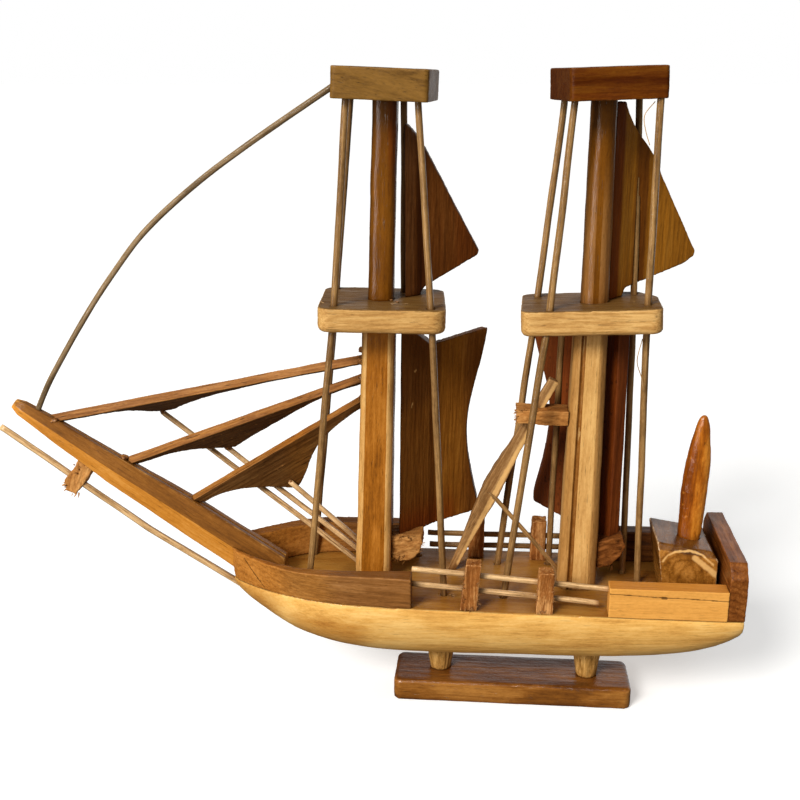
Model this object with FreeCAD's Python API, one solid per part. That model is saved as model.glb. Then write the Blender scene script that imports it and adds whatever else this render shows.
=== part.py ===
import FreeCAD, Part
import math
import os

# Hand-made wooden model of a two-masted sailing ship on a plank stand.  Millimetres.
# +X points aft, +Y to starboard, +Z up.  The origin lies on the stand's underside, on its long
# centreline and near its middle.

# ---------------------------------------------------------------- driving dimensions
STAND_LENGTH = 94.4
STAND_WIDTH = 24.4
STAND_HEIGHT = 8.6
STAND_CENTRE_X = -1.6

PEG_X = (-30.5, 28.5)
PEG_Y = (1.5, 0.0)
PEG_TOP_RADIUS = 5.8
PEG_FOOT_RADIUS = 4.2
PEG_TENON_RADIUS = 3.5
PEG_TENON_LENGTH = 5.2
TENON_CLEARANCE = 0.05
PEG_INTO_HULL = 5.0

DECK_Z = 48.3
BOW_X = -113.5
STERN_X = 82.6

BULWARK_TOP_Z = 61.2
STERN_BULWARK_TOP_Z = 60.3
BULWARK_GAP_FORE_X = -40.6
BULWARK_GAP_AFT_X = 33.0

TRANSOM_FORE_X = 76.3
TRANSOM_TOP_Z = 70.2

HOUSE_FORE_X = 55.0
HOUSE_FORE_TOP_X = 51.8
HOUSE_AFT_X = 74.6
HOUSE_HALF_WIDTH = 14.0
HOUSE_FORE_Z = 71.6
HOUSE_AFT_Z = 68.4

TOP_BLOCK_HEIGHT = 11.0

SHROUD_RADIUS = 1.3
RAIL_RADIUS = 1.15
SHEET_RADIUS = 1.1
STAY_RADIUS = 1.15


# ---------------------------------------------------------------- small helpers
def vec(x, y, z):
    return FreeCAD.Vector(x, y, z)


def prism(points, direction):
    # a straight prism standing on a closed polygon
    loop = [vec(*p) for p in points]
    loop.append(loop[0])
    face = Part.Face(Part.makePolygon(loop))
    return face.extrude(vec(*direction))


def outline_prism(edges, direction):
    # a prism on a closed outline: an edge with two points is straight, one with more is a curve
    sides = []
    for points in edges:
        if len(points) == 2:
            sides.append(Part.makeLine(vec(*points[0]), vec(*points[1])))
        else:
            sides.append(spline_edge(points))
    return Part.Face(Part.Wire(sides)).extrude(vec(*direction))


def box(x0, x1, y0, y1, z0, z1):
    return Part.makeBox(x1 - x0, y1 - y0, z1 - z0, vec(x0, y0, z0))


def spline_edge(points):
    curve = Part.BSplineCurve()
    curve.interpolate([vec(*p) for p in points])
    return curve.toShape()


def straight_rod(points, radius):
    # a stick that may bend at the inner points, with a ball in every bend
    solid = None
    for a, b in zip(points[:-1], points[1:]):
        start = vec(*a)
        run = vec(*b) - start
        piece = Part.makeCylinder(radius, run.Length, start, run)
        solid = piece if solid is None else solid.fuse(piece)
    for p in points[1:-1]:
        solid = solid.fuse(Part.makeSphere(radius, vec(*p)))
    return solid


def bent_cane(points, radius):
    # a round cane swept along a smooth curve
    curve = Part.BSplineCurve()
    curve.interpolate([vec(*p) for p in points])
    spine = Part.Wire([curve.toShape()])
    tangent = curve.tangent(curve.FirstParameter)[0]
    ring = Part.Circle(vec(*points[0]), tangent, radius)
    profile = Part.Wire([ring.toShape()])
    return spine.makePipeShell([profile], True, False)


def frustum(lower, upper, lower_radius, upper_radius, sides, turn):
    # a faceted spar: polygon section at the foot and the head
    rings = []
    for centre, radius in ((lower, lower_radius), (upper, upper_radius)):
        ring = []
        for i in range(sides):
            angle = 2.0 * math.pi * (i + turn) / sides
            x = centre[0] + radius * math.cos(angle)
            y = centre[1] + radius * math.sin(angle)
            ring.append(vec(x, y, centre[2]))
        ring.append(ring[0])
        rings.append(Part.makePolygon(ring))
    return Part.makeLoft(rings, True, True)


def biggest(shape):
    solids = sorted(shape.Solids, key=lambda s: s.Volume)
    return solids[-1]


# ---------------------------------------------------------------- stand and pegs
def make_peg(index):
    x = PEG_X[index]
    y = PEG_Y[index]
    neck_z = 20.5
    tenon = Part.makeCylinder(PEG_TENON_RADIUS, PEG_TENON_LENGTH, vec(x, y, STAND_HEIGHT - PEG_TENON_LENGTH))
    taper = Part.makeCone(PEG_FOOT_RADIUS, PEG_TOP_RADIUS, neck_z - STAND_HEIGHT, vec(x, y, STAND_HEIGHT))
    root = Part.makeCylinder(PEG_TOP_RADIUS, PEG_INTO_HULL, vec(x, y, neck_z))
    return tenon.fuse(taper).fuse(root).removeSplitter()


def make_stand():
    half = STAND_LENGTH / 2.0
    x0 = STAND_CENTRE_X - half
    body = box(x0, x0 + STAND_LENGTH, -STAND_WIDTH / 2.0, STAND_WIDTH / 2.0, 0.0, STAND_HEIGHT)
    corners = [e for e in body.Edges if abs(e.tangentAt(e.FirstParameter).z) > 0.9]
    body = body.makeFillet(3.0, corners)
    rim = [e for e in body.Edges if e.BoundBox.ZMin > STAND_HEIGHT - 0.01]
    body = body.makeFillet(1.4, rim)
    for x, y in zip(PEG_X, PEG_Y):
        depth = PEG_TENON_LENGTH + 0.6
        radius = PEG_TENON_RADIUS + TENON_CLEARANCE
        body = body.cut(Part.makeCylinder(radius, depth, vec(x, y, STAND_HEIGHT - depth)))
    return body


# ---------------------------------------------------------------- hull
# stations along the hull: x, half breadth at the deck, keel height
HULL_STATIONS = (
    (-113.5, 5.5, 44.5), (-110.5, 9.5, 41.5), (-105.0, 13.5, 37.5), (-98.5, 17.5, 33.5), (-90.0, 21.5, 28.5),
    (-80.0, 25.0, 24.5), (-66.0, 28.0, 21.5), (-40.0, 29.5, 20.0), (-7.0, 29.8, 20.5), (32.0, 30.2, 21.5),
    (54.0, 30.4, 23.5), (68.0, 30.4, 26.5), (77.0, 30.3, 30.5), (82.6, 30.0, 35.5),
)


def hull_section(x, half_breadth, keel_z):
    # carved round bottom: a full half ellipse hanging below the flat deck
    depth = DECK_Z - keel_z
    points = []
    steps = 12
    for i in range(steps + 1):
        angle = math.pi * i / steps
        c = math.cos(angle)
        s = math.sin(angle)
        y = -half_breadth * math.copysign(abs(c) ** 0.92, c)
        points.append((x, y, DECK_Z - depth * abs(s) ** 0.96))
    bottom = spline_edge(points)
    top = Part.makeLine(vec(x, half_breadth, DECK_Z), vec(x, -half_breadth, DECK_Z))
    return Part.Wire([bottom, top])


def make_hull():
    rings = [hull_section(*station) for station in HULL_STATIONS]
    return Part.makeLoft(rings, True, False)


def half_breadth_at(x):
    # half breadth of the deck between two stations
    for a, b in zip(HULL_STATIONS[:-1], HULL_STATIONS[1:]):
        if a[0] <= x <= b[0]:
            t = (x - a[0]) / (b[0] - a[0])
            return a[1] + t * (b[1] - a[1])
    return HULL_STATIONS[-1][1]


# ---------------------------------------------------------------- bulwarks
# bow planks, from the nose aft: x and half breadth along the top edges
BOW_PLANK_OUTER = ((-111.0, 10.8), (-103.5, 17.0), (-96.0, 22.3), (-86.0, 27.5), (-74.0, 30.0), (-40.6, 31.7))
BOW_PLANK_INNER_PORT = (
    (-114.0, 5.6), (-108.0, 10.8), (-96.0, 19.0), (-86.0, 23.0), (-66.0, 24.8), (-40.6, 23.0),
)
BOW_PLANK_INNER_STBD = (
    (-114.0, 3.6), (-108.0, 6.2), (-96.0, 14.5), (-86.0, 20.5), (-70.0, 23.5), (-42.8, 25.0),
)


def bow_plank(side):
    # a thick plank bent round the bow and flared outward; side is -1 for port
    inner_top = BOW_PLANK_INNER_PORT if side < 0 else BOW_PLANK_INNER_STBD
    rings = []
    for z, flare in ((DECK_Z, 0.0), (BULWARK_TOP_Z, 1.0)):
        outer = []
        inner = []
        for x, out_top in BOW_PLANK_OUTER:
            out_low = half_breadth_at(max(x, BOW_X)) - 0.15
            outer.append((x, side * (out_low + flare * (out_top - out_low)), z))
        for x, in_top in inner_top:
            in_low = in_top - (1.2 if x > -105.0 else 0.5)
            inner.append((x, side * (in_low + flare * (in_top - in_low)), z))
        first = Part.makeLine(vec(*inner[0]), vec(*outer[0]))
        last = Part.makeLine(vec(*outer[-1]), vec(*inner[-1]))
        back = spline_edge(inner[::-1])
        rings.append(Part.Wire([first, spline_edge(outer), last, back]))
    return Part.makeLoft(rings, True, True)


def stern_plank(side):
    # a straight flared plank between the rail gap and the transom
    low_out = 30.2
    top_out = 30.8
    low_in = 22.4
    top_in = 23.4
    if side > 0:
        top_out = 32.0
        top_in = 24.8
    ring = [
        (BULWARK_GAP_AFT_X, side * low_out, DECK_Z),
        (BULWARK_GAP_AFT_X, side * top_out, STERN_BULWARK_TOP_Z),
        (BULWARK_GAP_AFT_X, side * top_in, STERN_BULWARK_TOP_Z),
        (BULWARK_GAP_AFT_X, side * low_in, DECK_Z),
    ]
    return prism(ring, (TRANSOM_FORE_X - BULWARK_GAP_AFT_X, 0, 0))


def make_transom():
    # a thick plank with two clipped corners, standing across the stern
    y = 30.4
    ring = [
        (TRANSOM_FORE_X, -y + 0.4, DECK_Z), (TRANSOM_FORE_X, -y, 65.0),
        (TRANSOM_FORE_X, -26.0, TRANSOM_TOP_Z),
        (TRANSOM_FORE_X, 25.5, TRANSOM_TOP_Z), (TRANSOM_FORE_X, y, 64.6), (TRANSOM_FORE_X, y - 0.4, DECK_Z),
    ]
    return prism(ring, (STERN_X - TRANSOM_FORE_X + 0.2, 0, 0))


# ---------------------------------------------------------------- deckhouse and ensign post
def make_deckhouse():
    # a solid block with a roof that falls aft and a broad chamfer along its port edge
    ring = [
        (HOUSE_FORE_X, -HOUSE_HALF_WIDTH, DECK_Z), (HOUSE_FORE_TOP_X, -HOUSE_HALF_WIDTH, HOUSE_FORE_Z),
        (HOUSE_AFT_X - 2.0, -HOUSE_HALF_WIDTH, HOUSE_AFT_Z),
        (HOUSE_AFT_X, -HOUSE_HALF_WIDTH, HOUSE_AFT_Z - 3.0),
        (HOUSE_AFT_X, -HOUSE_HALF_WIDTH, DECK_Z),
    ]
    body = prism(ring, (0, 2.0 * HOUSE_HALF_WIDTH, 0))
    edge = []
    for e in body.Edges:
        b = e.BoundBox
        if b.YMax < -HOUSE_HALF_WIDTH + 0.01 and b.ZMin > 60.0 and b.XLength > 10.0:
            edge.append(e)
    return body.makeChamfer(2.2, edge)


# stations up the post: height, centre x, half length, half thickness
POST_STATIONS = (
    (66.5, 65.1, 4.0, 2.9), (78.0, 65.8, 4.7, 3.2), (92.0, 66.5, 4.9, 3.1),
    (104.0, 67.3, 4.2, 2.8), (112.0, 67.7, 3.0, 2.2), (117.0, 68.0, 1.7, 1.4), (118.5, 68.1, 0.8, 0.8),
)


def make_ensign_post():
    rings = []
    for z, x, a, b in POST_STATIONS:
        ellipse = Part.Ellipse(vec(x, 0, z), a, min(b, a * 0.999))
        rings.append(Part.Wire([ellipse.toShape()]))
    return Part.makeLoft(rings, True, False)


# ---------------------------------------------------------------- bowsprit group
BOWSPRIT_AXIS = ((-91.0, 45.4), (-128.6, 70.2), (-160.0, 90.2), (-183.0, 105.6), (-200.5, 117.0))
BOWSPRIT_SIZE = ((12.0, 14.6), (11.0, 13.4), (9.2, 10.8), (7.4, 7.8), (5.4, 5.0))


def bowsprit_section(axis, size):
    # six-sided section square to the spar, broad lower faces and bevelled shoulders
    slope = math.atan2(116.2 - 45.4, 200.5 - 91.0)
    up = (math.sin(slope), math.cos(slope))
    half_w = size[0] / 2.0
    half_h = size[1] / 2.0
    shape = [
        (-half_w * 0.94, -half_h), (-half_w, half_h * 0.10), (-half_w * 0.52, half_h),
        (half_w * 0.52, half_h), (half_w, half_h * 0.10), (half_w * 0.94, -half_h),
    ]
    ring = []
    for y, h in shape:
        ring.append(vec(axis[0] + h * up[0], y, axis[1] + h * up[1]))
    ring.append(ring[0])
    return Part.makePolygon(ring)


def make_bowsprit():
    rings = [bowsprit_section(a, s) for a, s in zip(BOWSPRIT_AXIS, BOWSPRIT_SIZE)]
    spar = Part.makeLoft(rings, True, True)
    spar = spar.cut(box(-140.0, -60.0, -30.0, 30.0, 0.0, DECK_Z))
    spar = spar.cut(box(-93.4, -60.0, -30.0, 30.0, 0.0, 90.0))
    return biggest(spar)


BOBSTAY_LINE = ((-206.5, -1.5, 107.4), (-176.0, -1.5, 85.6), (-148.9, -1.3, 66.2), (-109.5, -1.0, 41.2))


def make_bobstay_rod():
    return straight_rod(BOBSTAY_LINE, SHROUD_RADIUS)


def make_bobstay_block():
    # rough chock glued under the bowsprit, no wider than it, carrying the bobstay
    ring = [
        (-174.0, -3.6, 98.0), (-176.5, -3.6, 92.5), (-181.5, -3.6, 86.5), (-181.5, -3.6, 82.0),
        (-177.5, -3.6, 80.5), (-173.5, -3.6, 85.0), (-170.0, -3.6, 90.5), (-170.0, -3.6, 96.0),
    ]
    return prism(ring, (0, 6.6, 0))


# the forestay is a springy cane: steep at the bowsprit and flatter toward the cap
FORESTAY_LINE = (
    (-193.0, 0, 110.5), (-185.0, 0, 127.0), (-171.0, 0, 149.5), (-156.5, 0, 170.0), (-142.5, 0, 186.5),
    (-121.5, 0, 204.5), (-95.0, 0, 223.0), (-66.5, 0, 241.5),
)


# ---------------------------------------------------------------- masts, platforms and top blocks
FORE_PLATFORM_CENTRE = (-53.6, 0.0, 156.9)
MAIN_PLATFORM_CENTRE = (23.6, 0.0, 156.9)


def make_platform(centre, size, corner, tilt, yaw):
    # a thick pad with rounded corners; tilt raises its after side, yaw turns it on the mast
    length, width, thick = size
    half = length / 2.0
    z0 = centre[2] - thick / 2.0
    z1 = centre[2] + thick / 2.0
    pad = box(centre[0] - half, centre[0] + half, -width / 2.0, width / 2.0, z0, z1)
    corners = [e for e in pad.Edges if abs(e.tangentAt(e.FirstParameter).z) > 0.9]
    pad = pad.makeFillet(corner, corners)
    lower = [e for e in pad.Edges if e.BoundBox.ZMax < z0 + 0.01]
    pad = pad.makeFillet(2.0, lower)
    pad.rotate(vec(*centre), vec(0, 1, 0), -tilt)
    pad.rotate(vec(*centre), vec(0, 0, 1), yaw)
    return pad


def make_fore_platform():
    return make_platform(FORE_PLATFORM_CENTRE, (46.4, 45.0, 8.9), 5.0, -1.0, 4.0)


def make_main_platform():
    pad = make_platform(MAIN_PLATFORM_CENTRE, (50.4, 37.0, 9.3), 4.0, 2.7, -2.0)
    # the starboard after corner is sawn off
    wedge = prism([(41.5, 19.5, 140.0), (50.5, 19.5, 140.0), (50.5, 3.0, 140.0)], (0, 0, 40.0))
    return pad.cut(wedge)


def make_top_block(x0, x1, half_depth, z0, tilt, yaw):
    # a thick rectangular cap, slightly turned and tipped on its mast
    centre = vec((x0 + x1) / 2.0, 0, z0 + TOP_BLOCK_HEIGHT / 2.0)
    cap = box(x0, x1, -half_depth, half_depth, z0, z0 + TOP_BLOCK_HEIGHT)
    corners = [e for e in cap.Edges if abs(e.tangentAt(e.FirstParameter).z) > 0.9]
    cap = cap.makeFillet(1.6, corners)
    cap.rotate(centre, vec(0, 1, 0), -tilt)
    cap.rotate(centre, vec(0, 0, 1), yaw)
    return cap


def make_fore_top_block():
    return make_top_block(-69.3, -34.9, 19.0, 233.7, -2.4, -2.3)


def make_main_top_block():
    return make_top_block(9.0, 43.0, 19.0, 234.0, 1.8, 8.5)


def make_lower_mast(foot_x, head_x, foot_radius, head_radius, tenon_radius):
    # eight-sided mast with round tenons for the deck and for the platform above
    spar = frustum((foot_x, 0, DECK_Z), (head_x, 0, 157.0), foot_radius, head_radius, 8, 0.5)
    heel = Part.makeCylinder(tenon_radius, 7.0, vec(foot_x, 0, DECK_Z - 7.0))
    return spar, heel


def make_topmast(foot_x, head_x, foot_radius, head_radius):
    return frustum((foot_x, 0, 156.6), (head_x, 0, 240.0), foot_radius, head_radius, 10, 0.5)


# ---------------------------------------------------------------- shrouds
FORE_SHROUDS = {
    "shroud_fore_port_fwd": ((-65.0, -13.0, 236.6), (-70.4, -17.2, 157.4), (-81.7, -18.6, 44.8)),
    "shroud_fore_port_aft": ((-39.9, -13.0, 236.6), (-34.4, -17.3, 156.8), (-28.6, -15.0, 44.8)),
    "shroud_fore_stbd_fwd": ((-66.6, 13.0, 236.6), (-74.0, 17.4, 157.4), (-85.1, 20.0, 44.8)),
    "shroud_fore_stbd_aft": ((-46.8, 13.0, 236.6), (-46.9, 15.0, 157.0), (-41.5, 21.0, 44.8)),
}
MAIN_SHROUDS = {
    "shroud_main_port_fwd": ((14.6, -13.0, 237.4), (7.7, -15.0, 156.6), (-6.3, -15.8, 44.8)),
    "shroud_main_port_aft": ((43.0, -14.5, 237.6), (43.3, -9.6, 158.2), (47.2, 3.0, 44.8)),
    "shroud_main_stbd_fwd": ((12.4, 13.0, 237.4), (4.2, 12.6, 156.6), (-8.8, 16.3, 44.8)),
    "shroud_main_stbd_aft": ((38.8, 13.0, 238.0), (40.9, 12.6, 158.2), (42.2, 11.6, 44.8)),
}
MAIN_FIFTH_ROD = ((14.3, 12.0, 156.0), (12.6, 18.2, 44.8))


# ---------------------------------------------------------------- rails
RAIL_POSTS = {
    "rail_post_port_fwd": (-19.0, -29.0, -22.6, 66.8, 1.6),
    "rail_post_port_aft": (9.4, -29.4, -22.8, 64.6, 0.2),
    "rail_post_stbd_fwd": (-17.4, 20.4, 27.6, 66.6, 0.3),
    "rail_post_stbd_aft": (8.2, 20.6, 27.8, 65.2, 0.2),
}
RAIL_RODS = {
    "rail_port_upper": ((-40.6, -24.6, 62.6), (34.8, -24.6, 57.5)),
    "rail_port_lower": ((-40.6, -24.6, 56.8), (29.7, -24.6, 51.4)),
    "rail_stbd_upper": ((-37.6, 25.0, 57.3), (34.8, 25.6, 57.2)),
    "rail_stbd_lower": ((-36.8, 25.0, 52.2), (34.8, 25.6, 52.6)),
}
POST_HALF_LENGTH = 3.1


def make_rail_post(centre_x, y0, y1, top_z, lean):
    # a rough square stanchion, slightly leaning aft
    h = POST_HALF_LENGTH
    ring = [
        (centre_x - h, y0, DECK_Z), (centre_x + h, y0, DECK_Z),
        (centre_x + h + lean, y0, top_z), (centre_x - h + lean + 0.5, y0, top_z),
    ]
    return prism(ring, (0, y1 - y0, 0))


# ---------------------------------------------------------------- sails
def folded_board(plan, thickness, outline):
    # a sail carved as a board that is folded once: plan gives the port face seen from above,
    # outline is its shape seen square from port, as straight and curved edges
    offset = []
    for i, p in enumerate(plan):
        a = plan[max(i - 1, 0)]
        b = plan[min(i + 1, len(plan) - 1)]
        dx = b[0] - a[0]
        dy = b[1] - a[1]
        size = math.hypot(dx, dy)
        offset.append((p[0] + thickness * (-dy) / size, p[1] + thickness * dx / size))
    strip = [(x, y, 40.0) for x, y in plan] + [(x, y, 40.0) for x, y in offset[::-1]]
    wall = prism(strip, (0, 0, 220.0))
    edges = [[(x, -30.0, z) for x, z in points] for points in outline]
    window = outline_prism(edges, (0, 110.0, 0))
    return biggest(wall.common(window))


FORE_LOWER_PLAN = ((-49.0, -1.6), (-34.6, 15.6), (-14.0, 30.0))
FORE_LOWER_OUTLINE = (
    ((-46.8, 152.3), (-36.0, 140.5)),
    ((-36.0, 140.5), (-14.5, 144.5)),
    ((-14.5, 144.5), (-17.0, 131.0), (-22.0, 106.0), (-20.0, 84.0), (-17.5, 72.0)),
    ((-17.5, 72.0), (-18.0, 67.0)),
    ((-18.0, 67.0), (-41.0, 65.0)),
    ((-41.0, 65.0), (-47.6, 64.5)),
    ((-47.6, 64.5), (-46.8, 152.3)),
)
FORE_TOP_PLAN = ((-47.4, 0.6), (-39.7, 9.7), (-17.0, 25.6))
FORE_TOP_OUTLINE = (
    ((-46.0, 225.0), (-45.0, 225.0)),
    ((-45.0, 225.0), (-41.5, 220.5), (-38.0, 214.5)),
    ((-38.0, 214.5), (-18.5, 176.0)),
    ((-18.5, 176.0), (-19.0, 174.5)),
    ((-19.0, 174.5), (-39.0, 164.0)),
    ((-39.0, 164.0), (-41.0, 160.0)),
    ((-41.0, 160.0), (-45.4, 160.0)),
    ((-45.4, 160.0), (-46.0, 225.0)),
)
MAIN_TOP_PLAN = ((29.6, 0.4), (38.0, 9.9), (66.0, 29.6))
MAIN_TOP_OUTLINE = (
    ((24.0, 233.0), (33.5, 233.0)),
    ((33.5, 233.0), (36.5, 226.0), (42.0, 218.5), (49.0, 206.5)),
    ((49.0, 206.5), (65.0, 176.5)),
    ((65.0, 176.5), (64.5, 174.5)),
    ((64.5, 174.5), (60.5, 172.0)),
    ((60.5, 172.0), (36.5, 165.0)),
    ((36.5, 165.0), (35.0, 160.0)),
    ((35.0, 160.0), (24.0, 160.0)),
    ((24.0, 160.0), (24.0, 233.0)),
)
MAIN_LOWER_PLAN = ((35.0, 0.6), (25.0, 15.5), (4.0, 42.0))
MAIN_LOWER_OUTLINE = (
    ((40.0, 152.0), (26.0, 146.0)),
    ((26.0, 146.0), (4.5, 141.0)),
    ((4.5, 141.0), (6.0, 134.5), (11.5, 114.0), (11.5, 99.0), (6.5, 71.0)),
    ((6.5, 71.0), (6.5, 67.5)),
    ((6.5, 67.5), (26.0, 65.5)),
    ((26.0, 65.5), (40.0, 65.5)),
    ((40.0, 65.5), (40.0, 152.0)),
)


def jib_board(tack, head, clew, lower, thickness):
    # a three-cornered board with a hollow lower edge; its face leans out to starboard
    t = vec(*tack)
    h = vec(*head)
    c = vec(*clew)
    normal = (h - t).cross(c - t).normalize()
    luff = h - t
    foot = t + luff * ((c - t).dot(luff) / luff.dot(luff))
    runs = []
    for pairs in lower:
        runs.append([t + luff * along + (c - foot) * drop for along, drop in pairs])
    edges = [Part.makeLine(t, runs[0][0])]
    for run in runs:
        edges.append(spline_edge(run))
    edges.insert(2, Part.makeLine(runs[0][-1], runs[1][0]))
    edges.append(Part.makeLine(runs[1][-1], h))
    edges.append(Part.makeLine(h, t))
    face = Part.Face(Part.Wire(edges))
    face.translate(normal * (-thickness / 2.0))
    return face.extrude(normal * thickness)


# each jib: tack, head, a point that fixes how the board leans, and its lower edge before and behind
# the clew as pairs (fraction along the luff, fraction of the way to that point)
JIB_THICKNESS = 3.4
JIBS = {
    "jib_outer": (
        (-187.5, 0.0, 110.6), (-61.0, 0.0, 138.0), (-146.0, 17.2, 111.5),
        (((0.04, 0.12), (0.14, 0.11), (0.23, 0.24), (0.28, 0.70), (0.315, 1.0)),
         ((0.36, 0.98), (0.48, 0.43), (0.61, 0.20), (0.80, 0.13), (0.99, 0.10))),
    ),
    "jib_middle": (
        (-160.5, 0.0, 92.5), (-61.5, 0.0, 130.7), (-116.3, 15.0, 97.6),
        (((0.07, 0.15), (0.16, 0.20), (0.25, 0.31), (0.33, 0.65), (0.405, 1.0)),
         ((0.41, 1.0), (0.53, 0.69), (0.63, 0.48), (0.73, 0.27), (0.98, 0.12))),
    ),
    "jib_inner": (
        (-135.0, 0.0, 76.5), (-61.5, 0.0, 122.8), (-89.0, 10.0, 83.4),
        (((0.10, 0.19), (0.20, 0.24), (0.33, 0.52), (0.45, 0.96)),
         ((0.49, 1.0), (0.545, 0.85), (0.695, 0.38), (0.79, 0.24), (0.97, 0.15))),
    ),
}
JIB_SHEETS = {
    "jib_sheet_outer": ((-146.5, 18.0, 109.4), (-62.0, 0.4, 52.4)),
    "jib_sheet_middle": ((-119.6, 15.4, 95.8), (-62.0, 1.4, 57.0)),
    "jib_sheet_inner": ((-92.3, 6.6, 85.0), (-62.0, 2.4, 60.2)),
}


# stations along the staysail luff: fraction, half width across the view, depth to starboard
STAYSAIL_STATIONS = (
    (0.0, 1.5, 4.0), (0.16, 1.9, 6.5), (0.30, 2.7, 10.0), (0.42, 3.5, 13.0), (0.52, 3.2, 11.0),
    (0.66, 2.5, 7.5), (0.82, 2.2, 6.0), (1.0, 2.0, 5.0),
)
STAYSAIL_FOOT = (-26.9, 48.0)
STAYSAIL_HEAD = (11.2, 131.0)
STAYSAIL_FOOT_Y = 8.0
STAYSAIL_HEAD_Y = -1.6


def make_staysail():
    # a bellied spindle of wood, deepest near the middle, reaching to starboard
    rings = []
    run = (STAYSAIL_HEAD[0] - STAYSAIL_FOOT[0], STAYSAIL_HEAD[1] - STAYSAIL_FOOT[1])
    size = math.hypot(*run)
    across = (run[1] / size, -run[0] / size)
    for t, w, d in STAYSAIL_STATIONS:
        x = STAYSAIL_FOOT[0] + run[0] * t - 1.2 * math.sin(math.pi * t)
        y = STAYSAIL_FOOT_Y + (STAYSAIL_HEAD_Y - STAYSAIL_FOOT_Y) * t
        z = STAYSAIL_FOOT[1] + run[1] * t
        ring = []
        for side, reach, depth in ((-1.0, 1.0, 0.0), (1.0, 1.0, 0.0), (1.0, 0.8, d), (-1.0, 0.8, d)):
            shift = side * w * reach
            ring.append(vec(x + across[0] * shift, y + depth, z + across[1] * shift))
        ring.append(ring[0])
        rings.append(Part.makePolygon(ring))
    spindle = Part.makeLoft(rings, True, True)
    spindle = spindle.cut(box(-60.0, 20.0, -20.0, 20.0, 0.0, DECK_Z))
    return biggest(spindle)


def make_staysail_bracket():
    # a short shelf in front of the mast that holds the staysail head
    ring = [
        (-2.8, -5.4, 120.4), (-2.4, -5.4, 115.4), (8.0, -5.4, 114.6),
        (17.0, -5.4, 114.8), (17.0, -5.4, 120.2),
    ]
    return prism(ring, (0, 11.0, 0))


STAYSAIL_SHEET_LINE = ((-12.6, 5.0, 84.2), (18.0, 3.0, 49.6))


# ---------------------------------------------------------------- saddles at the sail feet
def make_fore_saddle():
    ring = [
        (-51.0, -3.0, 66.5), (-51.0, -3.0, 58.0), (-47.0, -3.0, 56.0), (-43.0, -3.0, 56.6),
        (-39.4, -3.0, 60.0), (-38.0, -3.0, 64.0), (-38.4, -3.0, 66.5),
    ]
    return prism(ring, (0, 12.0, 0))


def make_main_saddle():
    ring = [
        (27.0, -3.0, 66.2), (27.0, -3.0, 58.0), (31.0, -3.0, 56.0), (35.0, -3.0, 57.0), (39.4, -3.0, 61.5),
        (41.2, -3.0, 65.0), (39.8, -3.0, 69.4),
    ]
    return prism(ring, (0, 13.0, 0))


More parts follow.
